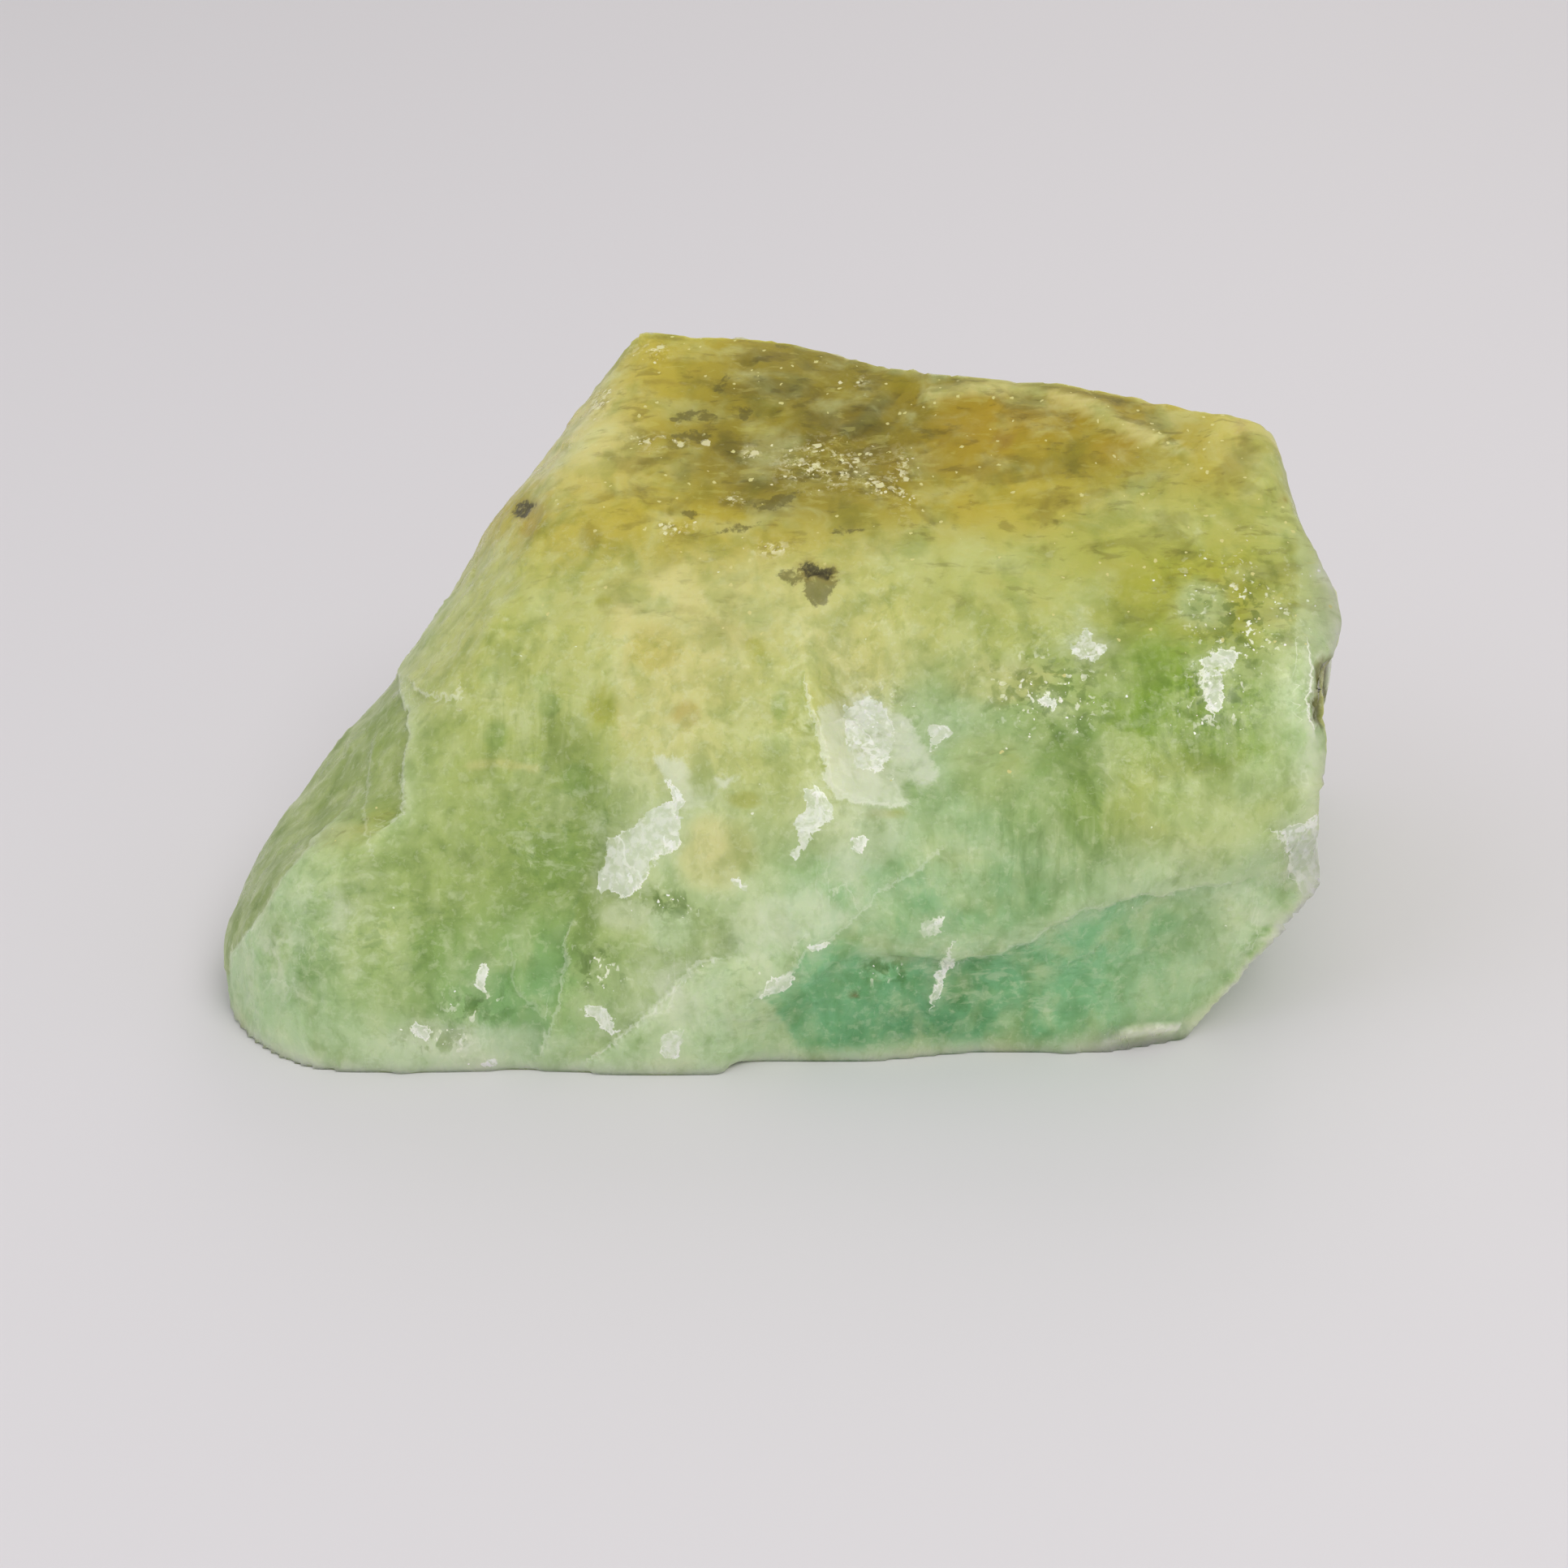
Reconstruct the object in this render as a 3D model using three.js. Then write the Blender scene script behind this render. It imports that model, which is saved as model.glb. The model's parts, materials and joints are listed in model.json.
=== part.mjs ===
// Raw aquamarine: one broken lump of milky green beryl that rests on a flat underside.
//
// The lump is a stack of nearly flat faces round its heart. Each face is a half-space:
// the way it looks, its reach from the heart, and how far its edge has worn round.
// Long shallow waves bend all of them a little, low swells stand proud of them, and
// breaks (scoops, ledges and flakes) bite into them.
//
// Millimetres. +Z is up, +X runs along the lump to the right, the front looks along -Y.
// Azimuth 0 looks to the front and 90 to the right; elevation 90 looks straight up.

import * as THREE from "three";

// ---------------------------------------------------------------- size and fineness

const HEART = [0, 0, 16.5];
const BASE_WEAR = 0.6;

// The surface is laid exactly flat where it comes this close to the ground.
const BASE_GRAIN = 0.01;

// Middle and half sizes of the box that the rays leave through, and its cells.
const CORE = [0, 2, 13];
const BOX_HALF = [33, 18, 17];
const CELLS = [42, 18, 28];
const FURTHEST = 60;
const STRIDE = 0.4;
const HALVINGS = 14;

// ---------------------------------------------------------------- large faces

// face(azimuth, elevation, reach, wear): degrees, degrees, mm, mm.
const face = (azimuth, elevation, reach, wear = 0) => ({ azimuth, elevation, reach, wear });

const FACES = {
  // The old weathered top slopes down toward the front and turns over a worn ridge.
  weatheredTop: face(2, 73.5, 9.6, 2.5),
  wornRidge: face(-3, 61, 6.5, 3),

  // The fresh front leans back above and stands nearly upright in its lowest centimetre.
  upperFront: face(-5, 37, 6.6, 3.5),
  rightFront: face(14, 24, 14.4, 2),
  lowFront: face(0, 4, 13.5, 2),
  footFront: face(14, 4, 17.4, 1.5),

  // The left end runs out into a blunt nose under a long darker strip.
  noseFront: face(-13, 18, 13.3, 2),
  noseSide: face(-52, 12, 26.7, 2),
  leftStrip: face(-86, 42.5, 16.5, 0.8),
  leftBack: face(-109, 27.5, 21.7, 0.8),
  noseEnd: face(-84, -8, 35.6, 2.5),

  // The right end is a clean cross break that is undercut near the base.
  rightEnd: face(78, 1.5, 31.4, 0.8),
  rightTop: face(93, 19, 33.4, 0.8),
  rightSlope: face(92, 18.5, 32, 0.8),
  underRight: face(74, -35, 30.2, 0.8),

  // The back drops from a bevelled crest to a slightly undercut foot.
  crestLeft: face(171, 58, 24.2, 0.8),
  crestRight: face(154, 57, 23.1, 0.8),
  backUpper: face(170, 18, 25.2, 1.5),
  backLower: face(184, -6, 20.8, 1.5),
};

// ---------------------------------------------------------------- swells

// swell(middle, half width, height) stands proud of the faces round its middle.
const swell = (middle, halfWidth, height) => ({ middle, halfWidth, height });

const SWELLS = {
  centreIsland: swell([-3.4, -9.4, 14.7], 6.5, 0.9),
  rightShoulder: swell([14.2, -9.5, 16.4], 9, 0.8),
  noseKnob: swell([-25.8, -12.3, 4.7], 5, 0.5),
};

// ---------------------------------------------------------------- breaks

// scoop(mouth, azimuth, elevation, half width, depth): a shell-shaped hollow. Its mouth
// lies on the surface and looks along the two angles.
const scoop = (mouth, azimuth, elevation, halfWidth, depth) => ({
  mouth,
  azimuth,
  elevation,
  halfWidth,
  depth,
});

// A break takes away what lies inside its bed and, where it has rims, beyond all of
// them. A bed is a scoop or a flat; a rim is a flat that ends the break in a step.
const brk = (wear, bed, ...rims) => ({ wear, bed, rims });

const BREAKS = {
  // Shell-shaped hollows of the left half.
  leftHollow: brk(0.9, scoop([-13, -9.2, 13.8], -2, 36, 9, 1.6), face(-74.5, -7.5, 12.8)),
  highHollow: brk(0.8, scoop([-16.3, -4.1, 19.5], -11, 47, 5, 0.5)),
  lowDip: brk(0.5, scoop([-8.8, -14.2, 5.6], -2, 16, 4, 0.7), face(-114.5, 37.5, -5.8)),

  // Three ledges climb from the base to the right, and the stone is cut back below them.
  shelf: brk(0.3, face(-3.5, 34.5, 6.9), face(44.5, -37.5, 13.6), face(4.5, -51, 11.1)),
  leftSlab: brk(0.3, face(4, 6, 11.4), face(56, -31.5, 12.7), face(-15, -51, 13.4)),
  rightSlab: brk(0.3, face(13, 2, 15.4), face(23, -48, 17.3), face(50, -4.5, 16.7)),

  // Shallow chips with one stepped side each.
  shellFlake: brk(0.25, scoop([3.5, -7.7, 17.4], 3, 50, 5.5, 0.55), face(88, 20.5, 3.4)),
  sparkChip: brk(0.25, scoop([16.4, -2.7, 22.6], -3, 57, 4.2, 0.6), face(42, -43.5, 5.1)),
  domeChip: brk(0.25, scoop([22.6, -0.9, 23.9], -10, 63, 3.6, 0.5), face(78, 14, 23.3)),
  sideChip: brk(0.25, scoop([23.3, -5.1, 21.2], -6, 48, 4, 0.5), face(75, 10, 23.9)),
  stripFlake: brk(0.3, face(-74.5, 42.5, 15.4), face(-132.5, 66, 1.7)),

  // Pits of the weathered top.
  leftPit: brk(0.25, scoop([-5.5, 13.9, 30.2], -3, 70, 2.6, 0.35)),
  middlePit: brk(0.3, scoop([6.3, 12.1, 29.6], -14, 69, 4.2, 0.6), face(61.5, -53, -11.8)),
  edgePit: brk(0.3, scoop([-14.9, 6.7, 25.2], -78, 41, 2, 0.6)),
  cornerPit: brk(0.3, scoop([28.7, 7.2, 27.7], -4, 59, 2.4, 0.5)),
  crestNick: brk(0.4, scoop([11, 19.4, 30.7], 165, 50, 7, 1.3)),

  // Breaks of the back and of the two ends.
  backHollow: brk(0.5, scoop([-5.9, 20.2, 13.5], 176, -9, 12, 2.6)),
  backLedge: brk(0.4, face(-178.5, 7, 20.7), face(95, 12, 9.3)),
  backChip: brk(0.3, scoop([5.9, 20.4, 7.6], -174, -5, 6, 1.3)),
  endLedge: brk(0.3, face(82.5, 3.5, 30.8), face(80, -75, 9)),
  leftHollowBack: brk(0.5, scoop([-22.8, 18.1, 10.4], -130, 21, 8, 1.6)),
};

// ---------------------------------------------------------------- waves

// A train of waves whose lengths fall by a fixed ratio; each pushes the surface by the
// same share of its own length. The golden angle spreads their directions.
const GOLDEN_ANGLE = THREE.MathUtils.degToRad(137.5);
const PHASE_STEP = 2.4;
const PUSH_TURN = 1;
const PUSH_SKIP = 3;

function spiralDirection(index, count, turn) {
  const height = 1 - (2 * index + 1) / count;
  const radius = Math.sqrt(1 - height * height);
  const angle = index * GOLDEN_ANGLE + turn;
  return new THREE.Vector3(radius * Math.cos(angle), radius * Math.sin(angle), height);
}

function waveTrain(count, longest, ratio, share, turn) {
  return Array.from({ length: count }, (_, index) => {
    const length = longest * ratio ** index;
    const pushIndex = (index * PUSH_SKIP) % count;
    return {
      push: spiralDirection(pushIndex, count, turn + PUSH_TURN).multiplyScalar(share * length),
      along: spiralDirection(index, count, turn).multiplyScalar((2 * Math.PI) / length),
      phase: turn + index * PHASE_STEP,
    };
  });
}

const LONG_WAVES = waveTrain(8, 24, 0.84, 0.016, 0.3);
const RIM_WAVES = waveTrain(5, 8, 0.83, 0.03, 2.1);

function bend(point, waves) {
  const bent = point.clone();
  for (const wave of waves) {
    bent.addScaledVector(wave.push, Math.sin(point.dot(wave.along) + wave.phase));
  }
  return bent;
}

// ---------------------------------------------------------------- the form

const heart = new THREE.Vector3(...HEART);

function lookingAlong(azimuth, elevation) {
  const a = THREE.MathUtils.degToRad(azimuth);
  const e = THREE.MathUtils.degToRad(elevation);
  return new THREE.Vector3(
    Math.sin(a) * Math.cos(e),
    -Math.cos(a) * Math.cos(e),
    Math.sin(e),
  );
}

// Height of a point above a flat: negative inside the stone.
function flatHeight({ azimuth, elevation, reach }) {
  const normal = lookingAlong(azimuth, elevation);
  const offset = normal.dot(heart) + reach;
  return (point) => point.dot(normal) - offset;
}

// Depth of a point inside the ball that a scoop follows: positive in the hollow.
function scoopDepth({ mouth, azimuth, elevation, halfWidth, depth }) {
  const radius = (halfWidth ** 2 + depth ** 2) / (2 * depth);
  const middle = new THREE.Vector3(...mouth);
  middle.addScaledVector(lookingAlong(azimuth, elevation), radius - depth);
  return (point) => radius - point.distanceTo(middle);
}

// The larger of two heights with the corner between them rounded off by `wear`.
function wornMax(a, b, wear) {
  const near = Math.max(wear - Math.abs(a - b), 0);
  return Math.max(a, b) + near ** 2 / (4 * wear);
}

const faces = Object.values(FACES).map((flat) => ({
  height: flatHeight(flat),
  wear: flat.wear,
}));

const swells = Object.values(SWELLS).map(({ middle, halfWidth, height }) => ({
  middle: new THREE.Vector3(...middle),
  spread: halfWidth ** 2,
  height,
}));

const breaks = Object.values(BREAKS).map(({ wear, bed, rims }) => ({
  wear,
  bed: bed.mouth ? scoopDepth(bed) : flatHeight(bed),
  rims: rims.map(flatHeight),
}));

// Below zero inside the stone, above zero outside it.
function form(point) {
  const bent = bend(point, LONG_WAVES);
  const jagged = bend(bent, RIM_WAVES);

  let height = faces[0].height(bent);
  for (const flat of faces.slice(1)) {
    height = wornMax(height, flat.height(bent), flat.wear);
  }
  for (const bump of swells) {
    height -= bump.height * Math.exp(-bent.distanceToSquared(bump.middle) / bump.spread);
  }
  for (const { wear, bed, rims } of breaks) {
    const cut = Math.min(bed(bent), ...rims.map((rim) => rim(jagged)));
    height = wornMax(height, cut, wear);
  }
  return wornMax(height, -point.z, BASE_WEAR);
}

// ---------------------------------------------------------------- the surface

const core = new THREE.Vector3(...CORE);
const boxHalf = new THREE.Vector3(...BOX_HALF);

// Walk outwards from the core until the stone ends, then close in on the surface.
function surfacePoint(boxPoint) {
  const direction = boxPoint.clone().multiply(boxHalf).normalize();
  const at = (distance) => core.clone().addScaledVector(direction, distance);

  let outside = STRIDE;
  while (outside < FURTHEST && form(at(outside)) < 0) {
    outside += STRIDE;
  }
  let inside = outside - STRIDE;
  for (let i = 0; i < HALVINGS; i += 1) {
    const middle = (inside + outside) / 2;
    if (form(at(middle)) < 0) {
      inside = middle;
    } else {
      outside = middle;
    }
  }
  const found = at(inside);
  if (found.z < BASE_GRAIN) {
    found.z = 0;
  }
  return found;
}

// One grid on each side of the box, sharing the corners along the box's edges. A cell
// is folded along the diagonal that lies nearer the surface, so the ledges run clean.
function stoneGeometry() {
  const points = [];
  const triangles = [];
  const corners = new Map();

  function corner(steps) {
    const key = steps.join();
    if (!corners.has(key)) {
      const onBox = steps.map((step, axis) => (2 * step) / CELLS[axis] - 1);
      corners.set(key, points.length);
      points.push(surfacePoint(new THREE.Vector3(...onBox)));
    }
    return corners.get(key);
  }

  function foldError(a, b) {
    return Math.abs(form(points[a].clone().lerp(points[b], 0.5)));
  }

  function addCell(a, b, c, d) {
    if (foldError(a, c) < foldError(b, d)) {
      triangles.push(a, b, c, a, c, d);
    } else {
      triangles.push(a, b, d, b, c, d);
    }
  }

  for (let axis = 0; axis < 3; axis += 1) {
    const across = (axis + 1) % 3;
    const up = (axis + 2) % 3;
    for (const side of [0, CELLS[axis]]) {
      for (let i = 0; i < CELLS[across]; i += 1) {
        for (let j = 0; j < CELLS[up]; j += 1) {
          const [a, b, c, d] = [[i, j], [i + 1, j], [i + 1, j + 1], [i, j + 1]].map(([u, v]) => {
            const steps = [];
            steps[axis] = side;
            steps[across] = u;
            steps[up] = v;
            return corner(steps);
          });
          if (side > 0) {
            addCell(a, b, c, d);
          } else {
            addCell(a, d, c, b);
          }
        }
      }
    }
  }

  const geometry = new THREE.BufferGeometry().setFromPoints(points);
  geometry.setIndex(triangles);
  geometry.computeVertexNormals();
  return geometry;
}

const beryl = new THREE.MeshStandardMaterial({
  color: "#a9b877",
  roughness: 0.45,
  metalness: 0,
  flatShading: true,
});

const aquamarine = new THREE.Mesh(stoneGeometry(), beryl);
aquamarine.name = "aquamarine";

const stone = new THREE.Group();
stone.name = "raw_aquamarine";
stone.add(aquamarine);

export default stone;
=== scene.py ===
# %% [markdown]
# # A raw aquamarine
#
# The object is one broken lump of milky beryl, about 68 mm long. Its top is an old weathered
# face, its front is a fresh break with ledges and shell-shaped hollows, and it rests on a flat
# underside. A lump like this could be sculpted by hand or grown from noise on a sphere. Here
# it is written down as a form: a few named faces, swells and breaks with real sizes, and
# finer relief worked out on top. Every number is a length or an angle on the stone, so every
# part of it can be moved.

import json

import bpy
import numpy as np
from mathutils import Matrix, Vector

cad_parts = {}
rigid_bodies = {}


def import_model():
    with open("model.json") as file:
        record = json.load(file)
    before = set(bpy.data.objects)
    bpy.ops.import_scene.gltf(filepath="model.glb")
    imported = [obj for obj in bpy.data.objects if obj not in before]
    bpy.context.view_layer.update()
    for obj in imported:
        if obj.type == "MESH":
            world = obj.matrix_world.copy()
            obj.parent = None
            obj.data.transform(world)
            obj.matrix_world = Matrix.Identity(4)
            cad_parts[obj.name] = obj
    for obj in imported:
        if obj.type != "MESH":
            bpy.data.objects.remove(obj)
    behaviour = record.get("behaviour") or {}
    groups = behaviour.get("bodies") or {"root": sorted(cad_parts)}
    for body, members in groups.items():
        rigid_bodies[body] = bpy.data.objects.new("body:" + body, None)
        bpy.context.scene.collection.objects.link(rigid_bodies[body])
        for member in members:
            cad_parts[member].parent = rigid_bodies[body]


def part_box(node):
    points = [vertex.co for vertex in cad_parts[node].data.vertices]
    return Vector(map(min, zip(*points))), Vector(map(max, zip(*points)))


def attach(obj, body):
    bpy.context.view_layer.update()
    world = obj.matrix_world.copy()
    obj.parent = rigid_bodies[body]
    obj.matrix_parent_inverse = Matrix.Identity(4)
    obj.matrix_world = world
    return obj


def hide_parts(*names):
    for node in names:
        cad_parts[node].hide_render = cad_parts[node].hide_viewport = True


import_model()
bpy.context.view_layer.update()
NODE = "aquamarine"

# %% [markdown]
# ## Units and angles
#
# The whole form is worked out in millimetres, and turned to metres only when it becomes a
# mesh. A direction is given as on a globe: azimuth 0 looks to the front (-Y), 90 to the right
# (+X), and elevation 90 looks straight up.

# %% Units and angles
MM = 0.001


def looking(azimuth, elevation):
    """Unit vector: the sine and cosine of the azimuth, shortened by the cosine of the
    elevation, with the sine of the elevation as its height."""
    a, e = np.radians(azimuth), np.radians(elevation)
    return np.array([np.sin(a) * np.cos(e), -np.cos(a) * np.cos(e), np.sin(e)])


def smooth(low, high, value):
    """0 below low, 1 above high, and the curve 3t^2 - 2t^3 between them."""
    t = np.clip((value - low) / (high - low), 0.0, 1.0)
    return t * t * (3.0 - 2.0 * t)


print("straight ahead:", looking(0, 0), "straight up:", looking(0, 90).round(3))

# %% [markdown]
# ## Tables
#
# The stone has a few hundred marks, and each has a name, a place and a size. They could be
# lists inside dictionaries, but then most of the page is brackets. So they stand in plain
# tables, and one small function reads them.

# %% Reading a table
def read(word):
    """A number, a point written as x,y with no space, or a plain word."""
    try:
        numbers = tuple(float(part) for part in word.split(","))
    except ValueError:
        return word
    return numbers if len(numbers) > 1 else numbers[0]


def table(text):
    """Rows by name: a word that ends in a colon names a row, and all words up to the next
    such word are that row's list."""
    rows = {}
    for word in text.split():
        if word.endswith(":"):
            row = rows[word[:-1]] = []
        else:
            row.append(read(word))
    return rows


print("a row:", table("speck: 0.5 pale 1,2 1,3"))

# %% [markdown]
# ## Large faces
#
# Broken beryl has no neat cleavage, so its faces are nearly flat, never quite. Each one is a
# half-space. These are the same faces as the solid's, so the lump fills its box.

# %% Large faces
HEART = np.array([0.0, 0.0, 16.5])
BASE_WEAR = 0.4
# Each face: the azimuth and elevation it looks to, how far it lies from the heart of the
# stone, and how far its edge has worn round.
FACES = table("""
weathered_top: 2 73.5 9.6 2.5
worn_ridge: -3 61 6.5 3
upper_front: -5 37 6.6 3.5
right_front: 14 24 14.4 2
low_front: 0 4 13.5 2
foot_front: 14 4 17.4 1.5
nose_front: -13 18 13.3 2
nose_side: -52 12 26.7 2
left_strip: -86 42.5 16.5 0.8
left_back: -109 27.5 21.7 0.8
nose_end: -84 -8 35.6 2.5
right_end: 78 1.5 31.4 0.8
right_top: 93 19 33.4 0.8
right_slope: 92 18.5 32 0.8
under_right: 74 -35 30.2 0.8
crest_left: 171 58 24.2 0.8
crest_right: 154 57 23.1 0.8
back_upper: 170 18 25.2 1.5
back_lower: 184 -6 20.8 1.5
""")
print("faces:", len(FACES))

# %% [markdown]
# ## Swells and breaks
#
# On a real lump, blows and frost take bites out of the faces. A scoop is the shell-shaped
# hollow that glassy minerals break with. A flat bed with rims makes a ledge. Each break takes
# away what is inside its bed and beyond all its rims.

# %% Swells and breaks
# Each swell: middle, half width, height.
SWELLS = table("""
centre_island: -3.4,-9.4,14.7 6.5 0.9
right_shoulder: 14.2,-9.5,16.4 9 0.8
nose_knob: -25.8,-12.3,4.7 5 0.5
""")


def scoop(mouth, azimuth, elevation, half_width, depth):
    """A ball that makes a hollow of this half width and depth at its mouth: its radius is
    the sum of the two squares over twice the depth."""
    radius = (half_width**2 + depth**2) / (2 * depth)
    return np.array(mouth) + looking(azimuth, elevation) * (radius - depth), radius


# Each break: its wear, then its bed, which is a scoop or a flat, then the flats of its rims.
BREAKS = {
    "left_hollow": (0.9, scoop((-13, -9.2, 13.8), -2, 36, 9, 1.6), (-74.5, -7.5, 12.8)),
    "high_hollow": (0.8, scoop((-16.3, -4.1, 19.5), -11, 47, 5, 0.5)),
    "low_dip": (0.5, scoop((-8.8, -14.2, 5.6), -2, 16, 4, 0.7), (-114.5, 37.5, -5.8)),
    "shelf": (0.3, (-3.5, 34.5, 6.9), (44.5, -37.5, 13.6), (4.5, -51, 11.1)),
    "left_slab": (0.3, (4, 6, 11.4), (56, -31.5, 12.7), (-15, -51, 13.4)),
    "right_slab": (0.3, (13, 2, 15.4), (23, -48, 17.3), (50, -4.5, 16.7)),
    "shell_flake": (0.25, scoop((3.5, -7.7, 17.4), 3, 50, 5.5, 0.55), (88, 20.5, 3.4)),
    "spark_chip": (0.25, scoop((16.4, -2.7, 22.6), -3, 57, 4.2, 0.6), (42, -43.5, 5.1)),
    "dome_chip": (0.25, scoop((22.6, -0.9, 23.9), -10, 63, 3.6, 0.5), (78, 14, 23.3)),
    "side_chip": (0.25, scoop((23.3, -5.1, 21.2), -6, 48, 4, 0.5), (75, 10, 23.9)),
    "strip_flake": (0.3, (-74.5, 42.5, 15.4), (-132.5, 66, 1.7)),
    "left_pit": (0.25, scoop((-5.5, 13.9, 30.2), -3, 70, 2.6, 0.35)),
    "middle_pit": (0.3, scoop((6.3, 12.1, 29.6), -14, 69, 4.2, 0.6), (61.5, -53, -11.8)),
    "edge_pit": (0.3, scoop((-14.9, 6.7, 25.2), -78, 41, 2, 0.6)),
    "corner_pit": (0.3, scoop((28.7, 7.2, 27.7), -4, 59, 2.4, 0.5)),
    "crest_nick": (0.4, scoop((11, 19.4, 30.7), 165, 50, 7, 1.3)),
    "back_hollow": (0.5, scoop((-5.9, 20.2, 13.5), 176, -9, 12, 2.6)),
    "back_ledge": (0.4, (-178.5, 7, 20.7), (95, 12, 9.3)),
    "back_chip": (0.3, scoop((5.9, 20.4, 7.6), -174, -5, 6, 1.3)),
    "end_ledge": (0.3, (82.5, 3.5, 30.8), (80, -75, 9)),
    "left_hollow_back": (0.5, scoop((-22.8, 18.1, 10.4), -130, 21, 8, 1.6)),
}
print("swells:", len(SWELLS), "breaks:", len(BREAKS))

# %% [markdown]
# ## Waves
#
# Nothing on a stone is truly flat, so trains of long shallow waves bend every face. Their
# lengths fall by a fixed ratio and each pushes by the same share of its length, as natural
# surfaces do at every scale. The golden angle spreads their directions, so no two line up
# and nothing random is needed.

# %% Waves
GOLDEN_ANGLE = np.radians(137.5)
PHASE_STEP = 2.4


def spiral(index, count, turn):
    """Evenly spread directions: height falls in equal steps, angle grows by the golden
    angle each time."""
    height = 1 - (2 * index + 1) / count
    radius = np.sqrt(1 - height * height)
    angle = index * GOLDEN_ANGLE + turn
    return np.array([radius * np.cos(angle), radius * np.sin(angle), height])


def wave_train(count, longest, ratio, share, turn):
    """Push vectors, wave vectors and phases of the waves, one row for each."""
    lengths = [longest * ratio**i for i in range(count)]
    push = [spiral((i * 3) % count, count, turn + 1) * share * s for i, s in enumerate(lengths)]
    along = [spiral(i, count, turn) * 2 * np.pi / s for i, s in enumerate(lengths)]
    phase = [turn + i * PHASE_STEP for i in range(count)]
    return np.array(push), np.array(along), np.array(phase)


LONG_WAVES = wave_train(count=8, longest=24, ratio=0.84, share=0.016, turn=0.3)
RIM_WAVES = wave_train(count=5, longest=8, ratio=0.83, share=0.03, turn=2.1)


def bend(points, waves):
    """Each point moved by the sum of push times the sine of its place along each wave."""
    push, along, phase = waves
    return points + np.sin(points @ along.T + phase) @ push


print("waves:", len(LONG_WAVES[0]), "long,", len(RIM_WAVES[0]), "on the rims")

# %% [markdown]
# ## The form
#
# The form is a height for any point in space: below zero inside the stone, above zero
# outside. For flats it is the largest of their heights. A rounded maximum wears the edges
# where two of them meet.

# %% The form
def worn_max(a, b, wear):
    """The larger of the two, raised by the square of what is left of the wear over four
    times the wear, which rounds the corner."""
    near = np.maximum(wear - np.abs(a - b), 0.0)
    return np.maximum(a, b) + near * near / (4 * wear)


def flat_height(points, azimuth, elevation, reach):
    """Distance of the points above a flat that lies at this reach from the heart."""
    return (points - HEART) @ looking(azimuth, elevation) - reach


def form(points):
    """The rounded maximum of all faces, less the swells' bell curves, cut by the breaks,
    and ended by the ground."""
    bent = bend(points, LONG_WAVES)
    jagged = bend(bent, RIM_WAVES)
    height = np.full(len(points), -1e3)
    for *flat, wear in FACES.values():
        height = worn_max(height, flat_height(bent, *flat), wear)
    for middle, half_width, rise in SWELLS.values():
        away = ((bent - np.array(middle)) ** 2).sum(axis=1)
        height = height - rise * np.exp(-away / half_width**2)
    for wear, bed, *rims in BREAKS.values():
        if len(bed) == 2:
            cut = bed[1] - np.linalg.norm(bent - bed[0], axis=1)
        else:
            cut = flat_height(bent, *bed)
        for rim in rims:
            cut = np.minimum(cut, flat_height(jagged, *rim))
        height = worn_max(height, cut, wear)
    return worn_max(height, -points[:, 2], BASE_WEAR)


print("the heart lies", round(-float(form(HEART[None])[0]), 1), "mm deep")

# %% [markdown]
# ## A grid round the stone
#
# The skin of the lump is six grids of directions, one through each side of a box with the
# stone's own proportions, so that the cells come out about square. Grids that meet at an
# edge of the box share its corners, so the skin is closed from the start.

# %% A grid round the stone
CORE = np.array([0.0, 2.0, 13.0])
BOX_HALF = np.array([33.0, 18.0, 17.0])
CELLS = (190, 82, 126)


def box_grid(cells):
    """Corners of the cells on the six sides of a box, as whole steps along x, y and z, and
    the four corners of every cell, turned so that it faces outwards."""
    corners, quads = [], []
    count = 0
    for axis in range(3):
        across, up = (axis + 1) % 3, (axis + 2) % 3
        for side in (0, cells[axis]):
            i, j = np.meshgrid(range(cells[across] + 1), range(cells[up] + 1), indexing="ij")
            steps = np.empty(i.shape + (3,), int)
            steps[..., axis], steps[..., across], steps[..., up] = side, i, j
            index = count + np.arange(i.size).reshape(i.shape)
            loop = [index[:-1, :-1], index[1:, :-1], index[1:, 1:], index[:-1, 1:]]
            quads.append(np.stack(loop if side else loop[::-1], axis=-1).reshape(-1, 4))
            corners.append(steps.reshape(-1, 3))
            count += i.size
    steps, shared = np.unique(np.concatenate(corners), axis=0, return_inverse=True)
    return steps, shared.ravel()[np.concatenate(quads)]


steps, quads = box_grid(CELLS)
directions = (2 * steps / np.array(CELLS) - 1) * BOX_HALF
directions /= np.linalg.norm(directions, axis=1, keepdims=True)
print("grid:", len(steps), "corners,", len(quads), "cells")

# %% [markdown]
# ## Walking out to the surface
#
# Inside the stone the form says how much stone is left, so each corner walks outwards from
# the core by nearly that much, again and again, until nothing is left.

# %% Walking out to the surface
FIRST_REACH = 4.0
STRIDE_SHARE = 0.85
STRIDES = 46

reach = np.full(len(directions), FIRST_REACH)
for _ in range(STRIDES):
    reach -= STRIDE_SHARE * form(CORE + directions * reach[:, None])
surface = CORE + directions * reach[:, None]
print("surface found to within", round(float(np.abs(form(surface)).max()), 4), "mm")


def outward(points, step=0.15):
    """Unit normals from the slope of the form: its change over a small step each way."""
    changes = [form(points + step * axis) - form(points - step * axis) for axis in np.eye(3)]
    slope = np.stack(changes, axis=1)
    return slope / np.linalg.norm(slope, axis=1, keepdims=True)


normals = outward(surface)

# %% [markdown]
# ## Noise that repeats
#
# The finer relief needs disorder, but the same disorder on every run. So whole-number cells
# of space are mixed into a number between 0 and 1, and a salt gives each use a pattern of its
# own. Clouds blend the corners of a cell. Grains find the nearest of many scattered seeds,
# which is how cracks divide a stone.

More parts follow.
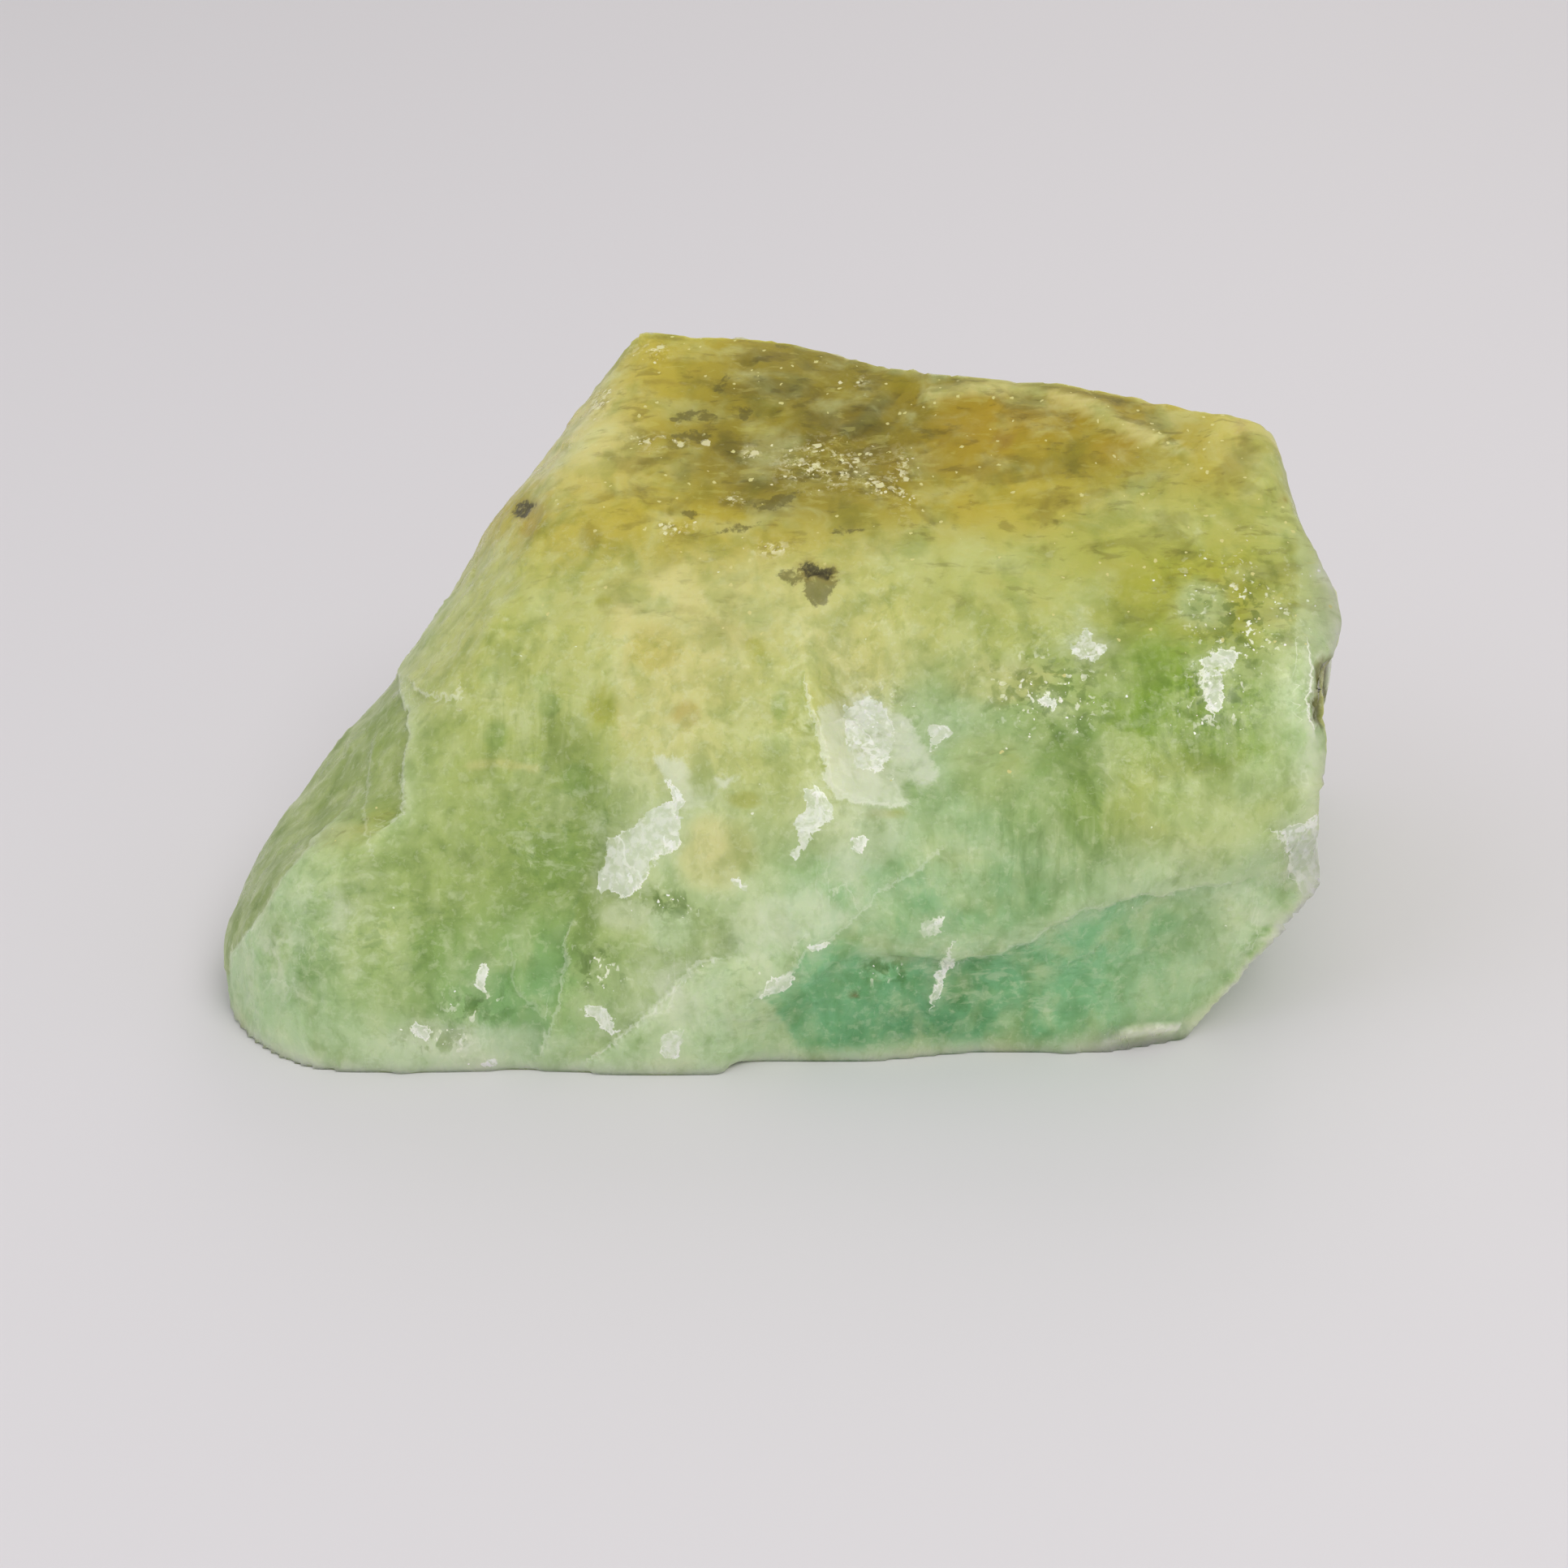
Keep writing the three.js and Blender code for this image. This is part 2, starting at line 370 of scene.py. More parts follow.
# %% Noise that repeats
def hashed(cells, salt):
    """A number from 0 to 1 for each whole cell: its three counts times three odd numbers,
    folded twice so that neighbours have nothing in common."""
    c = cells.astype(np.int64)
    mixed = c[:, 0] * 374761393 + c[:, 1] * 668265263 + c[:, 2] * 1440670441 + salt * 974634777
    mixed = ((mixed ^ (mixed >> 13)) * 1274126177) & 0xFFFFFFFF
    return ((mixed ^ (mixed >> 16)) & 0xFFFFFF) / 0xFFFFFF


def clouds(points, size, salt):
    """Smooth noise from -1 to 1: the values at the eight corners of a cube of this size,
    blended by how near the point is to each."""
    place = points / size
    cell = np.floor(place)
    part = place - cell
    part = part * part * (3.0 - 2.0 * part)
    total = np.zeros(len(points))
    for corner in np.ndindex(2, 2, 2):
        weight = np.where(corner, part, 1.0 - part).prod(axis=1)
        total += weight * hashed(cell + corner, salt)
    return 2.0 * total - 1.0


def fine_clouds(points, size, salt, octaves=3):
    """Clouds on clouds: each next layer is half the size and half the height."""
    layers = [clouds(points, size / 2**i, salt + i) / 2**i for i in range(octaves)]
    return np.sum(layers, axis=0) / (2.0 - 0.5 ** (octaves - 1))


def grains(points, size, salt):
    """For each point: its vector from the nearest seed, that distance, how much farther
    the second seed is, and the whole cell the nearest seed came from."""
    home = np.floor(points / size)
    nearest = np.full(len(points), np.inf)
    second = nearest.copy()
    away = np.zeros_like(points)
    owner = home.copy()
    for shift in np.ndindex(3, 3, 3):
        cell = home + np.array(shift) - 1
        jitter = np.stack([hashed(cell, salt + k) for k in range(3)], axis=1)
        offset = points - (cell + jitter) * size
        distance = np.linalg.norm(offset, axis=1)
        closer = distance < nearest
        second = np.where(closer, nearest, np.minimum(second, distance))
        away[closer], owner[closer] = offset[closer], cell[closer]
        nearest = np.minimum(nearest, distance)
    return away, nearest, second - nearest, owner


def splinters(points, size, salt):
    """Hackly fracture, about -1 to 1: every grain is cut off flat at a slant of its own, so
    little steps stand where two grains meet."""
    away, _, _, owner = grains(points, size, salt)
    slant = np.stack([hashed(owner, salt + k) for k in (7, 8, 9)], axis=1) * 2.0 - 1.0
    return (away * slant).sum(axis=1) / size + 0.5 * (hashed(owner, salt + 10) - 0.5)


def pits(points, size, salt, share):
    """Round pits from 0 to 1 in this share of the grains, each with a bowl's profile: 1
    less the square of the distance over the pit's own width."""
    _, nearest, _, owner = grains(points, size, salt)
    wide = size * (0.22 + 0.2 * hashed(owner, salt + 8))
    bowl = np.clip(1.0 - (nearest / wide) ** 2, 0.0, 1.0)
    return np.where(hashed(owner, salt + 7) < share, bowl, 0.0)


print("first clouds:", clouds(surface[:3], 5.0, 1).round(2))

# %% [markdown]
# ## A sheet to mark things on
#
# The top and the front are seen together when the stone is looked at from a little above, so
# marks are laid out on one flat sheet that leans back by that angle: across in mm to the
# right, up in mm along the lean. A mark is dropped straight back from the sheet on to the
# stone, and only where the stone turns that way, so nothing prints through to the back.

# %% A sheet to mark things on
LEAN = 27
TOWARD = looking(0, LEAN)
UPWARD = np.array([0.0, np.sin(np.radians(LEAN)), np.cos(np.radians(LEAN))])


def on_sheet(points):
    """Across: the point's x. Up: how far it lies along the lean, from the heart."""
    return np.stack([points[:, 0], (points - HEART) @ UPWARD], axis=1)


def blob(spots, across, up, wide, high):
    """A bell that is 1 in the middle and falls with the squares of both distances."""
    return np.exp(-(((spots[:, 0] - across) / wide) ** 2) - ((spots[:, 1] - up) / high) ** 2)


def side_distance(spots, start, end):
    """Distance from each spot to a straight side, and the spot's place left or right of it:
    the spot is dropped square on to the side and held between its two ends."""
    start, along = np.array(start), np.array(end) - np.array(start)
    away = spots - start
    share = np.clip(away @ along / (along @ along), 0.0, 1.0)
    distance = np.linalg.norm(away - share[:, None] * along, axis=1)
    return distance, along[0] * away[:, 1] - along[1] * away[:, 0]


def line_distance(spots, line):
    """Distance to the nearest side of an open line, above zero on its left-hand side."""
    best, sign = np.full(len(spots), np.inf), np.ones(len(spots))
    for start, end in zip(line, line[1:]):
        distance, left = side_distance(spots, start, end)
        sign = np.where(distance < best, np.where(left >= 0, 1.0, -1.0), sign)
        best = np.minimum(best, distance)
    return best * sign


def outline_depth(spots, outline):
    """Depth of each spot inside a closed outline, below zero outside it: the distance to
    the nearest side, its sign from how often a line to the right crosses the outline."""
    best, inside = np.full(len(spots), np.inf), np.zeros(len(spots), bool)
    for start, end in zip(outline, outline[1:] + outline[:1]):
        distance, left = side_distance(spots, start, end)
        best = np.minimum(best, distance)
        rising = (spots[:, 1] >= start[1]) & (spots[:, 1] < end[1]) & (left > 0)
        falling = (spots[:, 1] < start[1]) & (spots[:, 1] >= end[1]) & (left < 0)
        inside ^= rising | falling
    return np.where(inside, best, -best)


sheet = on_sheet(surface)
print("sheet from", sheet.min(axis=0).round(1), "to", sheet.max(axis=0).round(1), "mm")

# %% [markdown]
# ## Crumbled creases
#
# The breaks meet in hard creases, but on the stone most of them have crumbled to soft slopes.
# So each corner is moved toward the mean of its four neighbours, over and over: creases fill
# and lips wear, most where they were sharpest. The steps that are still sharp on the stone
# are laid on later, as rims.

# %% Crumbled creases
ROUNDS = 160
LEAST_WEAR = 0.3
# Each place: across, up, half width, half height.
SOFT = table("""
shelf_foot: 8 -11 9 4
slab_foot: 16 -13 13 5
bowl_wall: -12.5 -5 5 7
shoulder: 17 4 7 5
""")
SHARP = (30.4, 0.5, 1.5, 3.5)
starts, ends = quads.ravel(), np.roll(quads, -1, axis=1).ravel()
starts, ends = np.concatenate([starts, ends]), np.concatenate([ends, starts])
degree = np.bincount(starts)
wear = smooth(0.05, 0.35, normals @ TOWARD)
softest = np.max([blob(sheet, *spot) for spot in SOFT.values()], axis=0)
wear *= LEAST_WEAR + (1 - LEAST_WEAR) * softest
wear *= 1.0 - blob(sheet, *SHARP)
worn = surface.copy()
for _ in range(ROUNDS):
    mean = np.stack([np.bincount(starts, worn[ends, k]) for k in range(3)], axis=1)
    worn += wear[:, None] * (mean / degree[:, None] - worn)
print("most wear:", round(float(np.linalg.norm(worn - surface, axis=1).max()), 2), "mm")
surface = worn


def facet_normals(points):
    """Unit normals: the cross product of each cell's two diagonals, summed at its corners."""
    a, b, c, d = (points[quads[:, k]] for k in range(4))
    tilt = np.cross(c - a, d - b)
    total = [np.bincount(quads.ravel(), np.repeat(tilt[:, k], 4)) for k in range(3)]
    total = np.stack(total, axis=1)
    return total / np.linalg.norm(total, axis=1, keepdims=True)


normals = facet_normals(surface)
sheet = on_sheet(surface)

# %% Which way the skin turns, and ragged edges
# Between these cosines a mark fades in as the skin turns to the sheet. Colour smears sooner
# than relief where the skin turns away, so it fades in later.
RELIEF_SHOWS = (0.02, 0.14)
COLOUR_SHOWS = (0.02, 0.35)
BACK_SHOWS = (0.06, -0.2)
turn = normals @ TOWARD
facing, squarely = smooth(*RELIEF_SHOWS, turn), smooth(*COLOUR_SHOWS, turn)
behind, away_side = smooth(*BACK_SHOWS, turn), 1.0 - facing

# A crack never runs straight, so marks are measured from spots that wander a little.
CRUMBLE, CRUMBLE_SIZE = 0.3, 1.1
wander = [fine_clouds(surface, CRUMBLE_SIZE, salt) for salt in (40, 50)]
ragged = sheet + CRUMBLE * np.stack(wander, axis=1)
print("corners that face the sheet:", int((facing > 0.5).sum()))

# %% [markdown]
# ## Flakes, rims and stains
#
# These are the marks by which this very stone is known: white flakes where a crack lets
# light scatter, the rims of ledges with a painted highlight along their lips, and the dark
# specks of foreign mineral. Each is an outline or a line on the sheet, in mm, with a name.

# %% White flakes
FLAKES = table("""
island_patch: -6.6,-4.3 -5.5,-5.6 -5.9,-6.3 -5.5,-6.5 -5.8,-7.5 -6.2,-8.5 -7.3,-9.2 -7.5,-9.9
  -8.5,-11.1 -9.7,-10.7 -10.3,-10.8 -10.5,-10 -10.1,-9.2 -9.9,-7.9 -8.4,-7 -7.3,-6.1 -6.3,-5.7
shell_flake: 3.5,-0.4 4.7,0.2 5.8,-0.4 6.1,-1.6 6,-3.3 5.2,-4.2 4,-4.1 3.3,-2
side_glint: 8,-1.6 8.8,-1.4 9.6,-2 8.7,-2.5 8.2,-2.9
hook_chip: 1.3,-5 1.7,-4.8 2.6,-5.9 2.6,-6.7 1.7,-7.4 1.2,-8.3 0.8,-8.9 0.3,-8.8 0.7,-7.9 0.7,-6.5
  1.3,-5.9
small_chip: 3.6,-7.6 4.9,-7.6 4.6,-8.1 4.1,-8.7 3.8,-8.2
slab_glint: 7.5,-12.3 8.2,-12.4 9,-12.1 8.7,-12.8 8.9,-13.1 8.1,-13.3 7.6,-13
ledge_glint: 1.3,-13.9 1.7,-13.5 2.4,-13.3 2.5,-13.6 1.9,-13.9
ledge_sliver: -1.3,-16.7 -0.9,-15.8 -0.3,-15.2 0.3,-15 0.5,-15.3 0.3,-16.3 -0.4,-16.3
spark_flake: 15.9,2.9 16.7,3.3 16.9,4.4 17.4,3.8 17.7,3.3 18.5,3.1 18,2.6 17.5,2.1 16.7,2.2
tee_bar: 22.8,2.2 23.6,2.5 24.4,2.8 25.5,2.7 25.3,2.1 24.8,1.4 24.3,1.9 23.5,1.8
tee_stem: 23.4,1.7 24.2,1.8 24.6,0.7 24.4,-0.6 23.8,-0.9 23.5,0
low_spark: 14.2,-0.1 14.7,0.1 15.3,-0.4 15.3,-0.7 14.9,-0.7
crescent: 9.2,-14 9.6,-14.6 9,-15.4 8.8,-16.9 8.3,-16.8 8.5,-15.4
nose_chip: -17.2,-14.9 -16.7,-14.8 -16.5,-15.5 -16.6,-16.4 -17,-16.2
nose_foot_chip: -21.2,-18.6 -20.7,-18.3 -19.8,-18.6 -19.9,-19.3 -20.6,-19.1
hooked_foot_chip: -11.5,-17.1 -11.1,-17.2 -10.1,-17.3 -9.4,-17.9 -9.4,-18.7 -9.8,-19 -10.4,-18.2
  -11.1,-17.7
foot_chip: -7.1,-18.7 -6.4,-18.5 -5.6,-18.6 -6,-19.3 -5.7,-20 -6.4,-20.4 -7,-19.8
left_foot_chip: -17,-20.7 -16.6,-20.2 -16,-20.3 -16.1,-20.8
right_frost: 30.5,-6.1 29.6,-6.7 28.6,-7.2 27.6,-7.6 28.3,-8.4 29,-10 29.4,-11.3 31.2,-10.7 31,-8.3
middle_edge: -3,-9.7 -2.6,-9.9 -2.3,-10.3 -1.7,-10.5 -2.1,-10.7 -2.7,-10.4
""")
# A veil is a flake that lies deeper: paler than its surroundings, with a soft edge.
VEILS = table("""
shell_apron: 1.9,-0.5 3.2,0.3 4.7,0.2 6.6,-0.8 8.2,-2.9 8.5,-4.3 7.8,-5.4 6.7,-6 5.3,-6.1 4.1,-5.8
  3.1,-5.5 2.4,-4.7 2.1,-3.1
island_top: -7.2,-3.2 -5.6,-3.5 -4.3,-4.3 -2.6,-4.4 -3.6,-5.1 -4.6,-5.9 -5.6,-6.1 -6.3,-5
""")
print("white flakes:", len(FLAKES), "veils:", len(VEILS))

# %% Rims and ridges
# A rim has a step, in mm, that stands proud on its left-hand side, the distance over which
# the step dies away, how strongly the painted highlight on its edge shows, and its line.
RIMS = table("""
shell_rim: 0.15 2.5 0.4 1.1,0.7 1.3,-0.5 1.8,-1.4 2.1,-3.1 2.4,-4.7 3.1,-5.5 4.2,-5.8 6.5,-6
strip_edge: 0.3 2 0.3 -20.7,6.1 -21.2,5.3 -22.3,3.4 -23.3,2.2 -22.7,0.7 -21.7,-0.7 -21.4,-2
  -21.7,-3.7 -21.4,-6.3 -22.2,-7
nose_edge: 0.15 2 0.2 -26.1,-7.1 -27.5,-9 -28.9,-10.9 -30.1,-12.5 -32,-14.6 -32.2,-15.9
strip_crack: 0.12 1.5 0.2 -24,-3 -23.9,-6.3 -23.2,-8.5
flake_foot: 0.25 1.5 0.35 -21.5,0.9 -20.3,0.3 -18.5,0.1 -18.5,0.6
bowl_wall: 0.1 2 0 -12.4,-1.5 -11.9,-3.1 -10,-4.7 -9.8,-6.3 -9.9,-8.5 -10.5,-10.2 -10.6,-11.7
nose_arc: 0.25 2 0.25 -12,-13.3 -12.2,-14.2 -12.3,-15.9 -12.8,-18.1 -13.6,-19.6
inner_arc: 0.15 1.5 0.15 -15.3,-13.9 -15,-16.2 -13.9,-17.1 -13.5,-18.2
band_edge: -0.35 2 0.35 -10.6,-20 -9,-18.8 -7.4,-17.6 -5.8,-15.8 -4.8,-14.8 -3.9,-14.6
shelf_lip: 0.12 1.4 0.25 -1.5,-16.7 0.2,-15.2 1.5,-13.8 2.8,-13.1 4.3,-11.8 4.9,-11 6.6,-9.8
  8.2,-8.6
slab_lip: 0.18 1.4 0.25 9.4,-14.4 11.7,-14.2 13.7,-13.5 14.7,-12.6 16.1,-11.9 17.7,-11.4 19.1,-10.9
  21.6,-10.7 25.1,-10.1
curved_rim: 0.3 1.2 0.8 9.2,-14 8.6,-15.3 8.3,-16.9
tee_line: 0.2 0.8 1 23.4,1.7 23.5,0.5 23.7,-0.6
lobe_rim: -0.3 1.5 0.8 27.5,-7.8 28.5,-8.5 28.9,-10
right_ridge: -0.4 1.2 1 29.5,2.8 29.5,1.4 29.2,0 29.5,-1.1
crown_fault: -0.3 2.5 0 6.3,18.7 5.5,17.7 4.4,16.6
""")
# A ridge rises to its middle line on both sides: height, half width, line.
RIDGES = table("""
crown_ridge: 0.35 0.9 9,19 13.1,19.3 16,19.3 18.7,18.1 21.7,15.8
corner_point: 0.6 1.2 26.5,16.2 28.4,15.4 28.6,13.5
corner_ridge: 0.15 0.6 22.4,15.9 23.6,15.1 26.6,13.5 29.8,12
""")
print("rims:", len(RIMS), "ridges:", len(RIDGES))

# %% Dark inclusions
INCLUSIONS = table("""
hanging_head: 0.9,7.8 1.5,7.9 2.1,7.6 2.7,7.5 2.7,6.9 2.3,7.1 1.8,7.3 1.3,7.1 1.2,7.4
edge_inclusion: -16.1,12.1 -15.4,12.2 -14.8,12 -15.3,11.7 -15.6,11.3 -16.3,11.5
""")
# Smoky ones lie deeper or are thinner, so they show as olive stains with a clear edge.
SMOKY = table("""
hanging_body: 0.9,7.6 2,7.5 2.9,7.5 2.9,6.5 2.6,5.6 1.6,5.3 1.2,6.2
hanging_side: -0.3,7.3 0.4,7.5 0.9,7.2 0.7,6.7 0.2,6.8
dash_high: -4.6,19.3 -4.1,19.9 -3.4,20.5 -3.6,19.8 -4.1,19.2
spot: -2.5,18.1 -1.9,18 -2.1,17.4 -2.7,17.5
dash_left: -7,16.1 -5.7,16.5 -4,16.4 -4.8,15.9 -5.9,16
dash_left_high: -6.9,17.4 -6,18 -4.7,18 -4,17.3 -4.6,17.1 -5.4,17.6 -6.3,17.2
dash_low: -6,11.1 -5.5,11.4 -5,11.1 -5.5,10.8
dash_long: -3.8,9.9 -2.6,10.4 -1.2,10.5 -2.5,10
dash_right: 2.8,9.9 3.7,10.1 4.6,10 3.7,9.7
smear_low: -1.8,11.4 -0.6,12.2 1.2,12.5 0.4,11.8 -0.8,11.3
""")
print("inclusions:", len(INCLUSIONS), "dark,", len(SMOKY), "smoky")

# %% [markdown]
# ## Regions with a hard edge
#
# Most colours in the stone drift into each other, but a ledge cuts them off sharply: below
# it the eye looks into a deeper, greener part. These outlines keep a region's colours in it.

# %% Regions with a hard edge
def follow(line):
    """The line's points, and all points of a rim where the line names one."""
    return sum((RIMS[point][3:] if point in RIMS else [point] for point in line), [])


REGIONS = table("""
slabs: 1.2,-21 0.4,-18.7 -0.7,-17.1 -1.3,-16.7 0.2,-15.2 1.5,-13.8 3.3,-13.4 6,-14 slab_lip
  26.7,-10.4 28.3,-11.8 24.8,-15.6 22.2,-21
shelf: 3.3,-13.4 2.8,-13.1 4.3,-11.8 4.9,-11 6.6,-9.8 8.2,-8.6 11.8,-8.9 14.4,-10.1 14.9,-11.2
  14.7,-12.6 13.7,-13.5 11.7,-14.2 9.4,-14.4 6,-14
strip: strip_edge nose_edge -36,-16 -35,-8 -27,2 -21.5,7.5
foot_flake: 17.9,-19.8 19.2,-18.7 21.1,-18.4 22.8,-18.6 22.5,-19.8 20,-21 17.5,-21
recess: 29.8,2.5 32,2.3 32,0 31,-1.8 29.7,-1.1 29.5,0 29.6,1.4
""")
region = {name: outline_depth(ragged, follow(line)) for name, line in REGIONS.items()}
# The foot flake covers the slab behind it, and the recess ends before the back.
RECESS_BACK = 1.0
region["slabs"] = np.minimum(region["slabs"], -region["foot_flake"])
region["recess"] = np.minimum(region["recess"], RECESS_BACK - surface[:, 1])
print("regions:", list(region))

# %% [markdown]
# ## Where the skin is rough, hazy or glittering
#
# Each texture has places where it is strong. They are soft spots on the sheet, and away from
# the sheet slow clouds take over, so the back has the same textures in places of its own.

# %% Where each texture is strong
# Each spot: across, up, half width, half height.
# The haze at the right margin is painted light as well: paler where the thin right edge lets light
# through.
HAZE = table("""
veil: 3.1 -10.6 1.7 1.9
nose_foot: -18.5 -19.3 2.8 1.2
left_foot: -25.7 -11.8 1.9 1.4
band: -6.1 -16.7 2.4 2.4
spark: 16.9 2.9 1.4 0.9
shell: 5.4 -3.1 2.8 2.8
right_foot: 29 -9 1.4 2.8
right_margin: 29.4 -2 1 6.5
lip: -0.5 -13.4 2.4 1.8
nose: -28.5 -14.5 2.4 2.4
low_right: 27.5 -13.5 2 3.5
foot_flake: 20.5 -19.8 2.6 1
""")
# Where it glitters, white flecks are painted in as highlights, and the relief roughens the break.
GLITTER = table("""
upper: 14.7 0.5 3.3 2.1
right: 25.9 4.7 3 3.4
side: 24.2 0 2.6 1.7
slab: 5.6 -15.2 1.4 0.7
shell: 5.2 -1.3 1.7 1.9
foot: -17.2 -17.2 1.6 1
foot_left: -19.5 -19.2 2 0.7
dip: -10.5 -15 1.6 1.2
island_foot: -6.5 -11.5 1.8 0.8
""")
SPECKS = table("""
main: 2.4 14.3 2.3 1.3
right: 5.4 12.9 0.9 0.5
far: 7 13 0.7 1.7
left: -7.7 15.8 1.4 0.4
corner: -8.4 22.2 1 0.6
crest: 4.4 20.1 0.6 0.3
middle: -2 15 0.5 0.4
low: -0.7 8.8 0.9 0.4
low_left: -6.2 10.1 0.8 0.4
edge: -11.4 18.8 0.7 0.9
brow: -2.9 11.7 0.6 0.5
""")
STREAKS = table("""
right: 22.5 -1 5 3.5
left: -15 -1 3.5 3
tubes: 14 -8 5 3
""")
SMEARS = table("""
nose: -24 -13 7 4
bowl: -13 -8 4 4
band: -3 -16 4 3
slabs: 12 -15.5 8 3
""")


def strength(spots):
    """The strongest of the named bells at each corner, weaker where the skin turns away."""
    bells = [blob(sheet, *spot) for spot in spots.values()]
    return np.max(bells, axis=0) * squarely


slow = fine_clouds(surface, 9.0, 60)
skin = smooth(0.78, 0.93, normals[:, 2] + 0.06 * fine_clouds(surface, 3.0, 64))
fresh = 1.0 - skin
on_haze = strength(HAZE)
haze = on_haze + 0.35 * away_side * smooth(0.25, 0.6, slow)
glitter = strength(GLITTER) + 0.5 * away_side * smooth(0.1, 0.5, -slow)
streaks = strength(STREAKS) + 0.2 * away_side
hackle = np.clip(0.25 + glitter + 0.4 * on_haze + 0.3 * away_side, 0.0, 1.0)
print("share of old skin:", round(float(skin.mean()), 2))

# %% [markdown]
# ## Fine relief
#
# The finer relief is a height above the form, in mm, at each corner. Soft dents come first,
# then hackly splinters where the break is rough, pits in the old skin, the steps of the rims,
# and the flakes. One could sculpt these by hand; as a sum, each can be read and changed alone.

# %% Dents, splinters and pits
RELIEF = [
    # height in mm, where, pattern, size in mm, salt, and for pits the share of grains
    (0.18, 1.0, fine_clouds, 5.0, 1),
    (0.07, 1.0, fine_clouds, 1.3, 5),
    (0.03, 1.0, splinters, 1.0, 21),
    (0.45, behind, splinters, 8.0, 111),
    (0.20, behind, splinters, 3.4, 121),
    (0.04, (1.0 + 4.0 * hackle) * fresh, splinters, 2.6, 11),
    (0.11, hackle * fresh, splinters, 1.2, 31),
    (-0.22, skin, pits, 2.2, 71, 0.35),
    (-0.12, skin, pits, 1.1, 81, 0.4),
    (-0.10, fresh, pits, 3.0, 91, 0.3),
]
relief = np.zeros(len(surface))
for height, where, pattern, *numbers in RELIEF:
    relief += height * where * pattern(surface, *numbers)
print("patterns of relief:", len(RELIEF))

# %% Rims, ridges and ledges
RIM_SOFT = 0.12
rim, rim_near = np.ones(len(surface)), np.zeros(len(surface))
# Along each rim's edge lies a painted highlight, a pale hair line; each corner keeps the strongest
# near it.
for step, fall, bright, *line in RIMS.values():
    across = line_distance(ragged, line)
    stands = smooth(-RIM_SOFT, RIM_SOFT, across)
    relief += facing * step * np.exp(-np.abs(across) / fall) * stands
    near = bright * facing * smooth(1.0, 0.4, np.abs(across))
    rim = np.where(near > rim_near, across, rim)
    rim_near = np.maximum(rim_near, near)
for height, half_width, *line in RIDGES.values():
    across = line_distance(ragged, line)
    relief += facing * height * np.exp(-((across / half_width) ** 2))

# Away from the sheet the break comes down in ledges: slow clouds, cut into whole steps.
LEDGE_HEIGHT = 0.35
LEDGE_HIGHLIGHT = 0.35
STEPS, STEP_RAGGED = 2.4, 0.12
ledges = STEPS * fine_clouds(surface, 12.0, 160) + STEP_RAGGED * fine_clouds(surface, 1.4, 165)
level = np.floor(ledges)
part = ledges - level
relief += LEDGE_HEIGHT * behind * (level + smooth(0.42, 0.58, part))
# The lip of each ledge also gets a painted highlight, kept with those of the rims.
from_ledge = (part - 0.5) / 0.4
ledge_highlight = LEDGE_HIGHLIGHT * behind * smooth(1.0, 0.4, np.abs(from_ledge))
rim = np.where(ledge_highlight > rim_near, from_ledge, rim)
rim_near = np.maximum(rim_near, ledge_highlight)
print("ledges:", int(np.ptp(level)) + 1)

# %% Flakes, inclusions and the foot
NOWHERE = -9.0
ON_SHEET = 0.3
INCLUSION_GROWS = 0.08
FLAKE_THICK, FOOT_FLAKE_THICK = 0.05, 0.6
INCLUSION_DEEP, RECESS_DEEP = 0.15, 0.5
GROUND_FADE = (0.1, 1.4)


def depth_in(outlines, elsewhere=NOWHERE):
    """Depth inside the nearest of these outlines. Off the sheet it is the other value,
    which stands for far outside them all if none is given."""
    depth = np.max([outline_depth(ragged, line) for line in outlines.values()], axis=0)
    return np.where(facing > ON_SHEET, depth, elsewhere)


# Behind, a few grains of a coarse pattern are flakes, and slow clouds are veils.
FLAKE_SIZE, FLAKE_CHANCE = 3.0, 0.16
shifted = surface + 0.5 * (ragged - sheet) @ np.eye(2, 3)
_, _, gap, owner = grains(shifted, FLAKE_SIZE, 151)
chance = FLAKE_CHANCE * smooth(-0.1, 0.5, fine_clouds(surface, 9.0, 155))
flake_depth = depth_in(FLAKES, np.where(hashed(owner, 158) < chance, 0.5 * gap, NOWHERE))
veil_depth = depth_in(VEILS, 2.0 * (fine_clouds(surface, 8.0, 153) - 0.35))
inclusion_depth = depth_in(INCLUSIONS) + INCLUSION_GROWS
smoky_depth = depth_in(SMOKY)
on_flake = smooth(-0.05, 0.2, flake_depth)
relief += on_flake * (FLAKE_THICK + 0.06 * splinters(surface, 0.7, 101))
relief -= INCLUSION_DEEP * smooth(-0.1, 0.2, inclusion_depth)
relief -= RECESS_DEEP * facing * smooth(0.0, 0.4, region["recess"])
relief += FOOT_FLAKE_THICK * facing * smooth(-0.1, 0.3, region["foot_flake"])
# The relief dies out on the ground, so that the foot stands as flat as the solid's.
relief *= smooth(*GROUND_FADE, surface[:, 2])
print("relief from", round(float(relief.min()), 2), "to", round(float(relief.max()), 2), "mm")

# %% [markdown]
# ## Shell ripples
#
# A blow on glassy beryl sends out ripples that freeze in the break as fine rings round the
# place that was struck. They are faint: a twentieth of a millimetre high.

# %% Shell ripples
# Each blow: where it struck, how far its rings reach, their spacing there, their height,
# and the spot where they show.
STRUCK = table("""
bowl: -19.5,2.5 11 1.7 0.05 -14 -5.5 4.5 5
nose: -24,-12 12 1.5 0.05 -15.5 -15.5 3.5 3.5
slabs: 14,-25 14 1.6 0.05 14 -16.5 7 3
band: -14,-10 16 1.9 0.04 -4 -17 3.5 3
""")
for middle, far, spacing, height, *spot in STRUCK.values():
    distance = np.linalg.norm(ragged - np.array(middle), axis=1)
    ring = np.sin(2 * np.pi * distance / (spacing * (0.6 + 0.4 * distance / far)))
    relief += height * facing * blob(sheet, *spot) * ring
print("struck places:", len(STRUCK))

